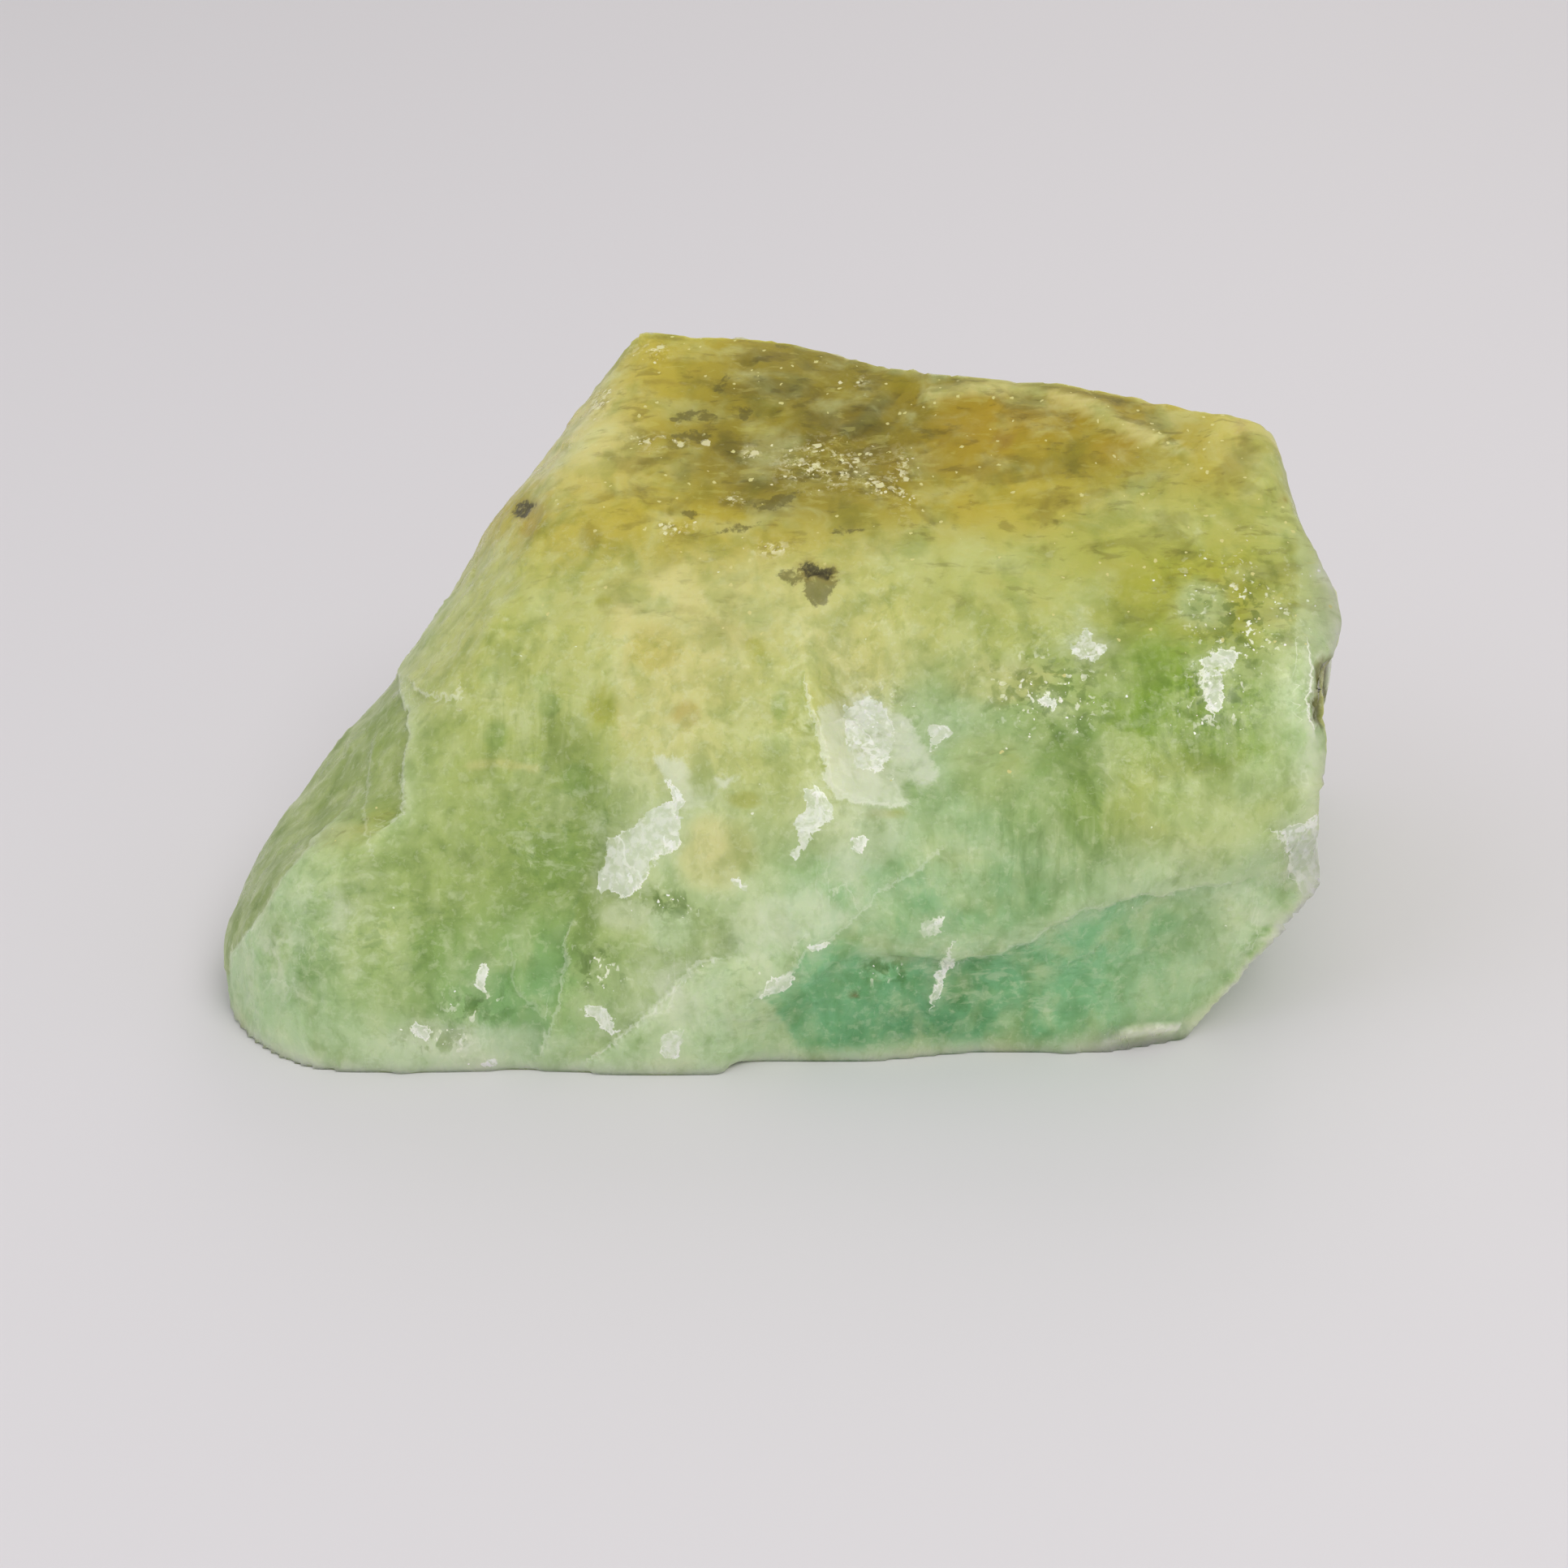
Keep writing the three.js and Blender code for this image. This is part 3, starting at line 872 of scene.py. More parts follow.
# %% [markdown]
# ## Pigments, laid out by place
#
# Beryl is coloured from within by a little iron, and this stone runs from sea green at its
# foot to honey and olive under its weathered top. Twenty pigments cover all of it, each named
# for its real tint, and named places say where it gathers. A corner's colour is the mean of
# the pigments near it, each weighed by its bell.

# %% Pigments
PIGMENTS = table("""
cream: #d4cf8e
pale_lime: #b8be6c
lemon: #b9aa34
honey: #a98f12
olive: #968a12
umber: #857915
rust: #8f7424
moss: #a3a51c
leaf: #9fb368
deep_leaf: #6a9238
jade: #a2c08e
pale_jade: #c1d5ac
sea_green: #70a766
deep_sea: #548e5d
bright_sea: #7eb985
grey_green: #8ea354
spring: #82a236
mint: #91ba86
shade: #6e6d36
milk: #dfe5cf
""")


def linear(hex_code):
    """A screen colour as light: each channel c from 0 to 1 becomes ((c + 0.055) / 1.055)
    to the power 2.4, or c / 12.92 where it is very dark."""
    c = np.array([int(hex_code[i : i + 2], 16) for i in (1, 3, 5)]) / 255.0
    light = np.where(c > 0.04045, ((c + 0.055) / 1.055) ** 2.4, c / 12.92)
    return (*[float(v) for v in light], 1.0)


pigment = {name: np.array(linear(code)[:3]) for name, (code,) in PIGMENTS.items()}
print("pigments:", len(pigment))

# %% Where the pigments gather
# Each place: across, up, half width, half height, its pigment, and the region it keeps to.
# At the right edge the knob and the margin are painted light: paler where the thin edge lets light
# through. The pale tint of the thin foot flake is painted light in the same way.
# The place in the recess at the right end is painted shade: a dark olive tint where that face lies
# in shade.
# The thin olive band along the crest is painted shade, where the crest's back side turns away from
# the light.
PLACES = table("""
crown_left: -8.3 20.1 3.6 2.6 lemon
crown_middle: -1.8 18.4 3.8 2.6 umber
crown_dark: 5.2 17.2 3.6 2.6 umber
crown_dark_low: 1.6 13.4 4.7 2.2 umber
crown_honey: 12.9 16.8 5.2 1.8 honey
crown_honey_right: 19.1 15.4 3.3 1.9 olive
far_corner: 27.2 14.8 2.8 2.4 lemon
crown_foot_left: -11.7 10.9 3.8 2.4 lemon
crown_foot: -3.1 10 5.2 1.8 lemon
olive_foot: 13.5 12.4 5.2 1.7 lemon
crown_foot_right: 23.4 10.9 4.7 2 pale_lime
brow_left: -12.4 5.8 5 2.8 pale_lime
brow: -2.5 4.9 6.5 2.6 cream
brow_right: 9.5 6 7.5 2.6 pale_lime
far_brow: 21.6 7.4 3.3 2 moss
hackly_corner: 27.7 7.4 2.3 3 moss
heart_honey: -5.2 -0.6 2.6 3.3 cream
heart: -1.5 -3.4 3.4 4.4 pale_lime
olive_pocket: -10.3 -0.4 1.9 1.9 pale_lime
cheek_left: -16.9 0.6 2.8 3.8 pale_lime
bowl: -15.2 -4.5 4.2 3.8 leaf
bowl_deep: -12.4 -8.6 2.6 3 grey_green
strip_high: -25 -3.5 2.8 3.8 grey_green strip
strip_low: -29.8 -10.1 2.4 3.3 grey_green strip
nose: -28.2 -15.5 3.8 3.3 jade
nose_side: -20.4 -14 4.3 3.4 leaf
nose_low: -15.7 -16.7 3.3 2.6 sea_green
foot_left: -22.2 -19.5 7.1 1.5 pale_jade
dip: -8 -13.5 2.8 2.8 leaf
pale_band: -4.8 -17.1 3.3 2.4 pale_jade
island: -3.9 -7.8 3.3 3 pale_jade
veil: 2.9 -10.3 2.4 2.4 mint
slab_dark: 3.8 -16.3 4.7 2.6 bright_sea slabs
slab_low: 7.5 -18.6 4.2 1.8 deep_sea slabs
slab_blue: 14.5 -15.4 4.6 2.8 bright_sea slabs
slab_right: 22.4 -16.2 3.3 2.8 jade slabs
lobe: 27 -10.2 1.9 2.1 jade
right_spring: 21.4 -0.2 3.2 2.8 spring
right_spring_low: 25.4 -2 2.4 2.4 spring
middle_green: 15.1 -1.2 2.8 3 leaf
centre_green: 10.8 -4 2.8 3.3 jade
green_window: 14.8 -6 2.4 2.4 deep_leaf
right_pale: 23 -6.2 5.2 2.2 pale_lime
right_margin: 29.2 0 1.6 9 pale_jade
shelf_slope: 12.7 -9.8 5.7 1.9 jade
shelf_step: 7.5 -11.4 4 1.5 mint shelf
lip_slope: 20.4 -9.2 4.7 1.4 pale_jade
recess_dark: 31 0.5 1.1 2.4 shade recess
limb_knob: 32 5.3 1.2 2.2 milk
foot_flake: 20.5 -19.6 2.6 0.9 milk foot_flake
low_right_edge: 26.5 -14.5 2 3 pale_jade slabs
band_foot: -0.5 -19.8 2.5 1.6 jade
crown_left_edge: -12.5 18 2.2 4.5 cream
crown_smear: 6.6 16.6 1.2 1 umber
crest: 9 19.6 5 0.5 olive
""")
print("places:", len(PLACES))

# %% Small marks of colour
# Spots: across, up, half width, half height, pigment, strength.
SPOTS = table("""
nose_low_dark: -18.6 -13.8 3 1.6 deep_leaf 0.3
honey_pit: -5.4 -0.8 0.9 0.8 honey 0.4
olive_pit: -10.2 -0.4 1.1 1.3 moss 0.5
left_pit: -13.2 -0.3 0.8 0.8 deep_leaf 0.4
left_pit_high: -13.7 1 0.6 0.6 leaf 0.5
square_window: -1.6 2.8 0.7 0.8 moss 0.5
upright_window: -0.3 -0.4 0.5 0.9 deep_leaf 0.4
low_window: -0.3 -2.5 0.8 0.6 deep_leaf 0.35
brow_pit: -11.2 9.6 0.7 0.9 umber 0.45
brow_pit_low: -10.5 5.7 0.6 0.4 moss 0.6
cheek_window: -16.3 -2 0.8 1.1 deep_leaf 0.45
cheek_window_high: -16.9 1.5 0.6 0.7 leaf 0.5
bowl_window: -11.7 -4.5 0.9 1.1 deep_leaf 0.4
bowl_dark: -13 -8.9 2 1.8 deep_leaf 0.3
island_arc: -2.1 -5.6 1 0.5 moss 0.5
island_honey: -4.2 -7.8 1 1.4 lemon 0.3
island_green: 2.4 -7.5 1.4 1.3 leaf 0.6
slash: 5.6 -6.4 1.2 0.3 moss 0.5
brow_olive: -7.4 3 1.8 1.4 lemon 0.35
pale_round: -6.4 6.6 1.5 1.3 cream 0.6
right_dark: 20.2 -0.9 1.2 1.5 spring 0.5
right_dark_low: 24.3 -2.5 0.7 1.3 spring 0.5
right_dark_far: 25.9 -2.5 0.5 1.6 spring 0.5
sparkle_dark: 16.2 -1.8 1.3 0.9 deep_leaf 0.6
upright_dash: 24.6 -8.8 0.25 0.6 deep_leaf 0.5
brown_spot: 13.1 15.9 0.7 0.6 rust 0.7
brown_stroke: 27.4 16 0.4 0.9 rust 0.6
brown_dot: 29.4 11.8 0.3 0.25 rust 0.7
honey_smear: 19.8 15.2 1.4 1.2 honey 0.6
olive_smear: 15.2 14 2.2 0.8 umber 0.5
olive_smear_low: 15.8 11.8 2.6 0.6 umber 0.4
edge_halo: -14.7 10.9 1.2 1.2 honey 0.5
ring_high: -5.5 18 1.6 0.5 umber 0.6
dark_pocket: 0.5 16.6 2.2 1.4 umber 0.6
low_brown: -0.9 11.7 1.8 0.7 umber 0.5
centre_cloud: 4.2 -7.6 2.6 2 milk 0.45
centre_cloud_low: 0.4 -12.2 3.2 1.4 milk 0.4
dip_cloud: -8.6 -12 2 0.9 milk 0.4
foot_cloud: -17 -19.4 6 1.1 milk 0.35
dome: 23.9 5.4 1.7 1.7 pale_jade 0.5
island_light: -3.8 -8.6 2.4 2.2 cream 0.65
island_foot_light: -6.3 -12.8 1.5 1.3 pale_jade 0.65
crown_olive: -1.5 17.5 2.2 1.6 olive 0.5
right_brow_light: 12.2 1 3.2 1.4 cream 0.5
right_low_light: 26.2 -4.6 1.6 1.4 pale_jade 0.4
corner_light: 27.3 15.4 2.2 1.8 cream 0.3
right_pale_green: 23 -5.9 3.5 1.8 jade 0.35
shelf_step_dark: 7.1 -11.6 1.5 0.9 sea_green 0.45
centre_pale: 11.1 -3.8 2.2 2.2 pale_lime 0.3
brow_light: -6.5 5 4 1.8 cream 0.35
slab_low_dark: 7.8 -18.4 2 1 deep_sea 0.6
slab_tip: 20.1 -12.5 2.2 0.9 sea_green 0.5
slab_dot: 3.8 -16.6 0.2 0.2 shade 0.9
dark_shoulder: 7.6 17.2 1.6 1.4 umber 0.6
""")
# Strokes: half width, pigment, strength, line.
# The dark stroke along the crest is painted shade on the crest's back side.
# The two strokes down the right edge and over its knob are painted light: paler where the thin
# edge lets light through.
STROKES = table("""
pale_ridge: 0.6 cream 0.6 9,19 11.6,19.2 16,19.2 18.8,17.8 21.7,15.8
dark_crest: 0.4 umber 0.8 3.9,21.5 6.7,20.8 10.2,20.4 15.5,19.5 18.5,18.9 21.3,18.3
crown_fault: 0.4 shade 0.7 3.6,16.5 4.6,17.2 5.6,18.2 6.3,18.9
crown_hair: 0.15 umber 0.6 -8.6,14.3 -6.8,15 -5.2,16.1
pale_scar: 0.2 cream 0.8 22.3,15.9 23.6,15.1
pale_fibre: 0.6 cream 0.6 -9,5.2 -9.2,1.6 -8.7,-1.7
right_dash: 0.15 spring 0.7 27.4,3.9 28.6,3.5
pale_band: 1.5 pale_jade 0.5 1.5,-11.5 -2,-14.3 -5,-17 -8.5,-19.6
limb_frost: 1.1 milk 0.75 31.2,-3.5 31.4,-8.5 29.8,-12.8 27,-16 23.8,-19
knob_frost: 0.9 milk 0.75 31.2,7.5 32.4,5.3 31.6,3.2
slab_top: 0.8 pale_jade 0.55 5,-13.9 9,-14 13,-13.2 17,-11.6
left_fibre: 0.2 cream 0.5 -17.5,-3.6 -14,-3.8
""")
# Sides: the tint starts hard at the line and dies away on its left-hand side. How far it
# reaches, pigment, strength, and a line or the name of a rim.
SIDES = table("""
bowl_side: 1.8 deep_leaf 0.3 -10.1,-10.5 -10,-9.2 -9.8,-6.5 -9.8,-4.6
shell_side: 2 leaf 0.4 2.4,-4.7 2.1,-3.1 1.8,-1.4 1.3,-0.5 1.1,0.7
window_side: 2.2 deep_leaf 0.4 17.5,-7.9 17.5,-6.6 17.4,-4.3 17.6,-3
block_side: 1.8 moss 0.6 29.1,5.3 29.4,7.3 29.6,9
lobe_side: 1.4 leaf 0.4 28.9,-11 28.6,-8.5 27.9,-7.6
arc_side: 1.5 sea_green 0.35 -13.6,-19.6 -12.8,-18.1 -12.3,-15.9 -12.2,-14.2 -12,-13.3
band_side: 2 leaf 0.45 band_edge
strip_lip: 0.9 pale_jade 0.6 strip_edge
nose_lip: 1 pale_jade 0.5 nose_edge
shelf_dark: 1.6 mint 0.3 12.6,-9 9.9,-9.1 7.5,-8.7 5.1,-9.1 4.3,-11.2
""")
print("spots:", len(SPOTS), "strokes:", len(STROKES), "sides:", len(SIDES))

# %% The tint off the sheet
# Where no place is marked, the tint goes by height: foot, middle, brow, and crown on top.
def toward(tint, paint, share):
    """The tint moved toward a paint, by a share of its own at each corner."""
    return tint + (paint - tint) * share[:, None]


def between(low, high, share):
    """A straight blend of two pigments."""
    return toward(pigment[low], pigment[high], share)


FOOT_ENDS, BROW_STARTS = (6, 15), (20, 29)
height = surface[:, 2] + 3.0 * fine_clouds(surface, 11.0, 130)
east = smooth(-8, 10, surface[:, 0] + 4.0 * clouds(surface, 9.0, 133))
foot = between("leaf", "jade", east)
middle = between("pale_lime", "cream", smooth(-0.4, 0.5, slow))
brow = between("lemon", "moss", smooth(-0.5, 0.4, clouds(surface, 6.0, 137)))
crown = between("honey", "umber", smooth(-0.5, 0.6, fine_clouds(surface, 7.0, 140)))
tint = toward(foot, middle, smooth(*FOOT_ENDS, height))
tint = toward(tint, brow, 0.7 * smooth(*BROW_STARTS, height))
tint = toward(tint, crown, 0.8 * skin)
print("tint off the sheet:", tint.mean(axis=0).round(3))

# %% Mixing the pigments
GATHER = 1.25
SHEET_BASE = 0.04
DRIFT, DRIFT_SIZE = 0.9, 4.0
drift = [fine_clouds(surface, DRIFT_SIZE, salt) for salt in (110, 120)]
drift = sheet + DRIFT * np.stack(drift, axis=1)
held = {name: smooth(-0.15, 0.15, depth) for name, depth in region.items()}
open_ground = 1.0 - np.max(list(held.values()), axis=0)
total = SHEET_BASE * facing + away_side
mixed = tint * total[:, None]
for across, up, wide, high, paint, *home in PLACES.values():
    share = held[home[0]] if home else open_ground
    near = blob(drift, across, up, GATHER * wide, GATHER * high) * facing * share
    total += near
    mixed += pigment[paint] * near[:, None]
tint = mixed / total[:, None]

marks = []
for *spot, paint, most in SPOTS.values():
    marks.append((paint, most * smooth(0.2, 0.7, blob(ragged, *spot))))
for half_width, paint, most, *line in STROKES.values():
    away = np.abs(line_distance(ragged, line))
    marks.append((paint, most * smooth(half_width + 0.2, 0.4 * half_width, away)))
for fall, paint, most, *line in SIDES.values():
    away = line_distance(ragged, follow(line))
    marks.append((paint, most * np.exp(-np.abs(away) / fall) * smooth(-0.1, 0.1, away)))
# Painted light: low down, where the stone thins out on the ground, it is painted paler,
# standing in for the light that comes through the thin foot.
FOOT_PAINTED_LIGHT, FOOT_PAINTED_LIGHT_FADE = 0.8, (1.6, 0.3)
marks.append(("pale_jade", FOOT_PAINTED_LIGHT * smooth(*FOOT_PAINTED_LIGHT_FADE, surface[:, 2])))
for paint, share in marks:
    tint = toward(tint, pigment[paint], squarely * share)
print("mean tint:", tint.mean(axis=0).round(3))

# %% [markdown]
# ## The mesh
#
# The corners move out along their normals by the relief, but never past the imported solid's
# box, which is the stone's true size. What the material needs to know about each corner
# rides along as attributes on the mesh.

# %% The mesh
INSIDE_BOX = 0.01
low, high = (np.array(corner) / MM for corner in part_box(NODE))
room = np.where(normals > 0, high - surface, surface - low) / np.maximum(abs(normals), 1e-3)
relief = np.minimum(relief, room.min(axis=1) - INSIDE_BOX)
corners = np.clip(surface + normals * relief[:, None], low, high) * MM


def put(name, data):
    """A new object in the scene that shows this data."""
    thing = bpy.data.objects.new(name, data)
    bpy.context.scene.collection.objects.link(thing)
    return thing


mesh = bpy.data.meshes.new("raw_aquamarine")
mesh.from_pydata(corners.tolist(), [], quads.tolist())
mesh.shade_smooth()
stone = put("raw_aquamarine", mesh)
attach(stone, "root")
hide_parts(NODE)
print("triangles:", 2 * len(quads))

# %% Facts for the material
thin = 0.9 * blob(sheet, 20.5, -19.5, 3.5, 1.0) + 0.5 * blob(sheet, 29.2, -9.3, 1.5, 3.0)
thin = squarely * np.clip(thin + 0.8 * smooth(29.0, 31.5, sheet[:, 0]), 0, 1)
FACTS = {
    "frost": flake_depth,
    "rim": np.clip(rim, -1.0, 1.0),
    "rim_near": rim_near,
    "veil": veil_depth,
    "dark": inclusion_depth,
    "smoky": smoky_depth,
    "haze": haze,
    "glitter": glitter,
    "specks": strength(SPECKS),
    "streaks": streaks,
    "smears": strength(SMEARS),
    "skin": skin,
    "thin": thin,
}
for name, values in FACTS.items():
    attribute = mesh.attributes.new(name, "FLOAT", "POINT")
    attribute.data.foreach_set("value", np.ascontiguousarray(values))
rgba = np.column_stack([tint, np.ones(len(tint))])
mesh.attributes.new("tint", "FLOAT_COLOR", "POINT").data.foreach_set("color", rgba.ravel())
print("attributes:", [*FACTS, "tint"])

# %% [markdown]
# ## Milky beryl
#
# The stone isn't clear: it is full of fine cracks and tubes, so light goes in a few
# millimetres, scatters and comes out softened. That is subsurface scattering, with plain
# transmission where the stone thins out. The colour comes from the mesh. The material adds
# what is too fine for the mesh, as layers, each a pattern of a real size.

# %% One helper for nodes
beryl = bpy.data.materials.new("milky_beryl_broken_and_weathered")
beryl.use_nodes = True
tree = beryl.node_tree
tree.nodes.clear()


def add(kind, sockets=None, **settings):
    """Adds one node. Settings are its own options; sockets gives each input, by name or
    number, a value, or a node or an output, which is then linked."""
    node = tree.nodes.new("ShaderNode" + kind)
    for name, value in settings.items():
        setattr(node, name, value)
    for name, value in (sockets or {}).items():
        if isinstance(value, bpy.types.Node):
            value = value.outputs[0]
        if isinstance(value, bpy.types.NodeSocket):
            tree.links.new(value, node.inputs[name])
        else:
            node.inputs[name].default_value = value
    return node


def per_mm(size):
    """The texture scale at which one pattern cell is this many millimetres wide."""
    return 1.0 / (size * MM)


place = add("TexCoord").outputs["Object"]
known = {name: add("Attribute", attribute_name=name).outputs["Fac"] for name in FACTS}
print("facts read by the material:", list(known))

# %% Patterns
# The noises that the layers follow: what each is like is in its name. Each: cell size
# in mm, detail, roughness, and how far it is drawn out along x, y, z.
NOISES = table("""
wisp: 3.2 4 0.55 1,1,1.5
patch: 2 4 0.52 1,1,1.5
pool: 2.4 4 0.52 1,1.2,1.6
mottle: 0.8 4 0.58 1,1,1.2
tube: 0.6 3 0.55 1,4,7
dash: 0.7 4 0.6 2,2,0.9
milk: 1.6 5 0.58 1,1,1
crumb: 0.55 4 0.66 1,1,1
fleck: 0.4 2 0.5 1,1,1.5
vein: 2.4 6 0.55 1,1,1.8
gap: 1.6 3 0.55 1,1,1
grime: 0.8 4 0.6 2.4,1,1
stain: 2.4 4 0.55 1.5,1,1
rust: 4.5 4 0.6 1,1,1
dent: 1.1 5 0.58 1,1,1.2
""")
for name, (size, detail, rough, drawn) in NOISES.items():
    shrunk = add("Mapping", {0: place, 3: tuple(1.0 / d for d in drawn)})
    known[name] = add("TexNoise", {
        "Vector": shrunk, "Scale": per_mm(size), "Detail": detail, "Roughness": rough,
        "Distortion": 0.4,
    }).outputs["Fac"]
# A vein runs where its noise crosses one half: a thin line, whatever the noise's size.
line = add("Math", {0: known["vein"], 1: 0.5}, operation="SUBTRACT")
known["vein"] = add("Math", {0: line}, operation="ABSOLUTE")
print("patterns:", len(NOISES))


# %% Helpers for layers
def lay(body, share, colour, blend="MIX"):
    """Lays a tint over the colour so far, as strongly as the share says."""
    sockets = {0: share, 6: body, 7: linear(colour)}
    return add("Mix", sockets, data_type="RGBA", blend_type=blend).outputs[2]


def fade(value, start, end, most=1.0, where=None):
    """A share that grows from 0 to its most as the value goes from start to end."""
    sockets = {0: value, 1: start, 2: end, 4: most}
    share = add("MapRange", sockets, interpolation_type="SMOOTHSTEP")
    if where is None:
        return share
    return add("Math", {0: share, 1: where}, operation="MULTIPLY", use_clamp=True)


def lay_all(body, layers):
    """Lays the table's layers on, one over the other. Each row: what the layer follows,
    fades in from, to, its most, where, its tint, and how it is laid on if not mixed."""
    for follows, start, end, most, where, colour, *blend in layers.values():
        share = fade(known[follows], start, end, most, known.get(where))
        body = lay(body, share, colour, *blend)
    return body


known["fresh"] = add("Math", {0: 1.0, 1: known["skin"]}, operation="SUBTRACT")
known["broken"] = add("MapRange", {0: known["gap"], 1: 0.48, 2: 0.58})
# Where the break glitters, white flecks are painted in as highlights.
known["glints"] = fade(known["gap"], 0.44, 0.56, 1.0, known["glitter"])
known["gritty"] = fade(known["gap"], 0.36, 0.52, 1.0, known["specks"])
print("a layer can follow or keep to", len(known), "things")

# %% Layers of tint
# The last row is a painted highlight: white flecks where the fresh break glitters.
LAYERS = table("""
pale_wisps: wisp 0.46 0.72 0.36 all #cbd49e
pale_patches: patch 0.5 0.64 0.2 fresh #d0d8ac
green_patches: patch 0.5 0.32 0.26 fresh #aac07a MULTIPLY
green_pools: pool 0.46 0.68 0.4 all #a8be78 MULTIPLY
fine_mottle: mottle 0.52 0.64 0.2 fresh #b4c68c MULTIPLY
pale_crumbs: crumb 0.53 0.63 0.16 fresh #dbe2c2
dark_tubes: tube 0.5 0.64 0.3 streaks #a6bc70 MULTIPLY
pale_tubes: tube 0.48 0.34 0.2 streaks #d4dcac
pale_dashes: dash 0.63 0.7 0.18 broken #dde3c6
pale_smears: dash 0.53 0.64 0.34 smears #ccd8b2
dark_smears: dash 0.47 0.36 0.34 smears #9cbf92 MULTIPLY
dark_stains: stain 0.5 0.64 0.42 skin #aaa45c MULTIPLY
pale_stains: stain 0.46 0.34 0.26 skin #b9b45c
rust: rust 0.58 0.7 0.1 skin #96782a
dark_grime: grime 0.56 0.68 0.4 skin #968f4c MULTIPLY
pale_grime: grime 0.42 0.34 0.26 skin #c3bf68
haze: milk 0.36 0.62 0.72 haze #ccd5b8
glitter_ground: mottle 0.48 0.58 0.6 glitter #92aa5c MULTIPLY
haze_veins: vein 0.018 0.004 0.3 haze #e2e7d4
speck_ground: crumb 0.5 0.42 0.6 gritty #9a9050 MULTIPLY
pale_specks: crumb 0.53 0.58 0.8 gritty #d0cc92
bright_specks: fleck 0.54 0.6 0.9 gritty #e2dfb6
glints: fleck 0.61 0.65 0.9 glints #f2f5e2
""")
body = lay_all(add("Attribute", attribute_name="tint").outputs["Color"], LAYERS)
print("layers:", len(LAYERS))

# %% Flakes, and the painted highlights of rims
# Where a crack runs just under the surface the light turns back white. A flake is a thin
# veil whose bright grains, crack lines and broken edge are painted highlights; a rim is a
# painted highlight, a bright hair line along the lip of a ledge.
# The film and crumb rows are the flake's own pale colour; the grain, crack, broken edge and rim
# rows paint highlights.
FLAKE_LAYERS = table("""
veils: veil_mm -0.25 0.2 0.62 pools #d8dfca
halo: frost_mm -0.9 0 0.2 all #c8d2ae
film: patch 0.72 0.42 0.85 inside #ccd6bd
crumbs: crumb 0.6 0.4 0.7 inside #dfe4d6
grains: mottle 0.43 0.36 0.75 inside #eef1ea
cracks: vein 0.03 0.005 0.6 inside #e9ede2
broken_edge: gap 0.46 0.56 1 edge #eef1e6
rim: from_rim 0.15 0.03 0.9 rim_near #e9edde
""")
# Each depth crumbles by up to this many mm, so that no mark has a smooth edge.
CRUMB = 0.28
crumb_mm = add("MapRange", {0: known["crumb"], 1: 0.25, 2: 0.75, 3: -CRUMB, 4: CRUMB})
for name in ("frost", "veil", "rim", "smoky", "dark"):
    known[name + "_mm"] = add("Math", {0: known[name], 1: crumb_mm}, operation="ADD")
known["from_rim"] = add("Math", {0: known["rim_mm"]}, operation="ABSOLUTE")
known["pools"] = fade(known["pool"], 0.70, 0.42)
known["inside"] = fade(known["frost_mm"], 0.0, 0.06)
known["edge"] = fade(known["frost_mm"], 0.16, 0.05, 0.8, fade(known["frost_mm"], -0.02, 0.03))
body = lay_all(body, FLAKE_LAYERS)
print("layers on flakes and rims:", len(FLAKE_LAYERS))

# %% Painted sparks, and crumbs
# The first two kinds of spark are painted highlights: white dots where tiny mirrors of fresh
# break would catch the light. Crumbs are pale grit in the pits of the skin. Each: cell size
# in mm, where, chance at full strength, radius in cells, tint.
DICE = table("""
spark: 0.26 glints 0.26 0.38 #f6f8f0
glint: 0.5 glints 0.14 0.28 #e6ecd6
grit: 0.28 gritty 0.4 0.55 #dedcb2
grain: 0.75 gritty 0.42 0.52 #d3d0a0
stray: 0.36 skin 0.06 0.42 #cfcb88
pinhead: 0.4 fresh 0.003 0.3 #e2e8d0
""")
SHAKE = 0.32
shake = add("TexNoise", {"Vector": place, "Scale": per_mm(0.3), "Detail": 2.0}).outputs["Color"]
shaken = add("VectorMath", {0: shake, 1: (SHAKE * MM,) * 3, 2: place}, operation="MULTIPLY_ADD")
for name, (size, where, chance, radius, colour) in DICE.items():
    cells = add("TexVoronoi", {"Vector": shaken, "Scale": per_mm(size)}).outputs
    throw = add("SeparateColor", {0: cells["Color"]}).outputs
    limit = add("MapRange", {0: known[where], 3: 1.0, 4: 1.0 - chance})
    chosen = add("Math", {0: throw[0], 1: limit}, operation="GREATER_THAN")
    wide = add("MapRange", {0: throw[1], 3: 0.4 * radius, 4: radius})
    inner = add("Math", {0: wide, 1: cells["Distance"]}, operation="SUBTRACT")
    known[name] = fade(inner, 0.0, 0.08, 0.92, chosen)
    body = lay(body, known[name], colour)
print("dice:", list(DICE))

# %% Dark inclusions
# Specks of a foreign dark mineral, with a brown halo where it has bled into the beryl.
DARK_LAYERS = table("""
stain: smoky_mm -0.12 0.08 0.66 smoke #575014
halo: dark_mm -0.5 0 0.35 all #8d7c30
core: dark_mm -0.1 0.12 0.85 core #2f2a12
""")
known["smoke"] = fade(known["mottle"], 0.22, 0.46)
known["core"] = fade(known["crumb"], 0.76, 0.50)
body = lay_all(body, DARK_LAYERS)
print("layers on inclusions:", len(DARK_LAYERS))

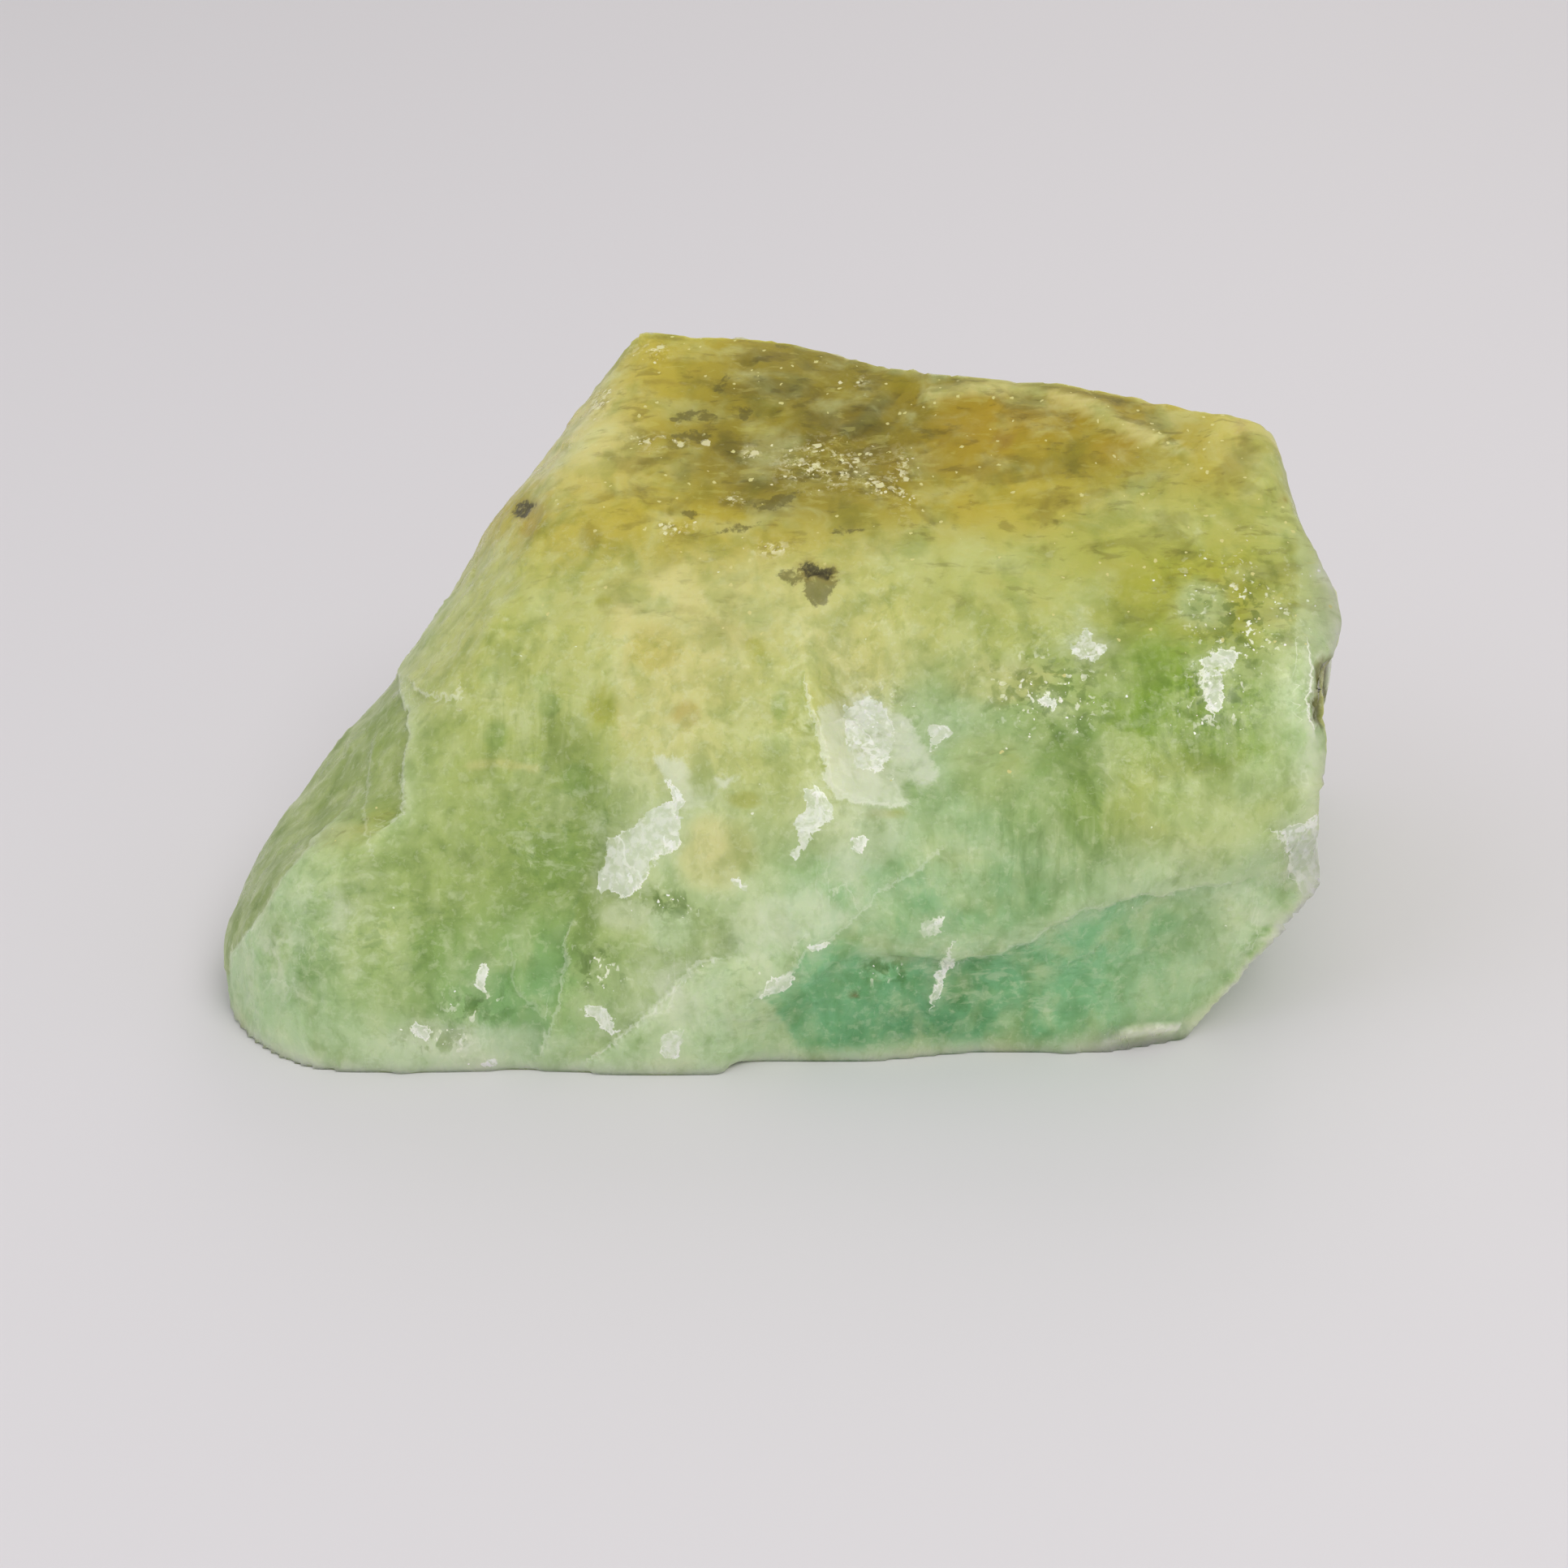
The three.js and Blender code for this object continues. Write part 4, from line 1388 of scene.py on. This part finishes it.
# %% Fine bumps and gloss
# Broken beryl is glassy in its dips and dull on its crumbled parts. Each bump: strength, and
# its height in mm.
BUMPS = table("""
dent: 0.3 0.25
mottle: 0.2 0.10
crumb: 0.25 0.06
""")
GLASSY, DULL, OLD_SKIN, SPARK = 0.22, 0.42, 0.58, 0.12
turned = {}
for name, (strong, tall) in BUMPS.items():
    sockets = {"Height": known[name], "Strength": strong, "Distance": tall * MM}
    turned = {"Normal": add("Bump", {**sockets, **turned})}
gloss = add("MapRange", {0: known["pool"], 1: 0.35, 2: 0.65, 3: GLASSY, 4: DULL})
gloss = add("Mix", {0: known["skin"], 2: gloss, 3: OLD_SKIN})
gloss = add("Mix", {0: known["spark"], 2: gloss, 3: SPARK})
clear = add("Math", {0: known["thin"], 1: 0.5}, operation="MULTIPLY")
skin_shader = add("BsdfPrincipled", {
    "Base Color": body,
    "Roughness": gloss,
    "IOR": 1.57,
    "Specular IOR Level": 0.3,
    "Subsurface Weight": 0.8,
    "Subsurface Radius": (1.0, 1.2, 0.7),
    "Subsurface Scale": 3.0 * MM,
    "Transmission Weight": clear,
    **turned,
})
depth_shader = add("VolumeAbsorption", {"Color": linear("#9fc79a"), "Density": 60.0})
add("OutputMaterial", {"Surface": skin_shader, "Volume": depth_shader})
stone.data.materials.append(beryl)
print("nodes:", len(tree.nodes))

# %% [markdown]
# ## Floor, light and camera
#
# A plain pale floor, broad soft light, and a camera 153 mm away that looks down by the
# sheet's angle, as one would photograph a stone on a table.

# %% Floor
FLOOR_HALF = 3.0
floor_mesh = bpy.data.meshes.new("floor")
square = [(-1, -1), (1, -1), (1, 1), (-1, 1)]
floor_corners = [(x * FLOOR_HALF, y * FLOOR_HALF, 0) for x, y in square]
floor_mesh.from_pydata(floor_corners, [], [(0, 1, 2, 3)])
put("floor", floor_mesh)
# Matte pale paint: soft grey with a trace of violet, so the greens read as green.
paint = bpy.data.materials.new("matte_pale_paint")
paint.use_nodes = True
paint_shader = paint.node_tree.nodes["Principled BSDF"]
paint_shader.inputs["Base Color"].default_value = linear("#d8d7dc")
paint_shader.inputs["Roughness"].default_value = 0.6
floor_mesh.materials.append(paint)
print("floor:", 2 * FLOOR_HALF, "m wide")

# %% Light
world = bpy.data.worlds.new("soft_room")
bpy.context.scene.world = world
world.use_nodes = True
sky = world.node_tree.nodes["Background"]
sky.inputs["Color"].default_value = linear("#f4f1ef")
sky.inputs["Strength"].default_value = 0.71

# Each lamp: azimuth, elevation, distance in m, width in m, power in W, colour.
LAMPS = table("""
window_right: 40 55 0.60 0.30 1.1 #fffaf4
card_left: -60 40 0.60 0.45 0.45 #f4f5ff
card_back: 165 35 0.70 0.40 0.45 #fff8f0
card_front: -5 14 0.70 0.50 0.6 #fbfaff
""")
for name, (azimuth, elevation, far, size, power, colour) in LAMPS.items():
    data = bpy.data.lights.new(name, "AREA")
    data.shape, data.size, data.energy, data.color = "DISK", size, power, linear(colour)[:3]
    lamp = put(name, data)
    lamp.location = looking(azimuth, elevation) * far
    lamp.rotation_euler = (-lamp.location).to_track_quat("-Z", "Y").to_euler()
bpy.context.scene.view_settings.view_transform = "Standard"
print("lamps:", list(LAMPS))

# %% Camera
DISTANCE = 152.9
AIM = HEART - 4.75 * UPWARD
lens = bpy.data.cameras.new("camera")
lens.lens, lens.sensor_width, lens.clip_start = 60.0, 36.0, 0.01
camera = put("camera", lens)
camera.location = (AIM + DISTANCE * TOWARD) * MM
camera.rotation_euler = (np.radians(90 - LEAN), 0.0, 0.0)
bpy.context.scene.camera = camera
print("camera at", [round(v, 4) for v in camera.location], "m")

# %% [markdown]
# ## Bringing the scene up to date
#
# Blender works out every object's place once more.

# %% Bringing the scene up to date
bpy.context.view_layer.update()
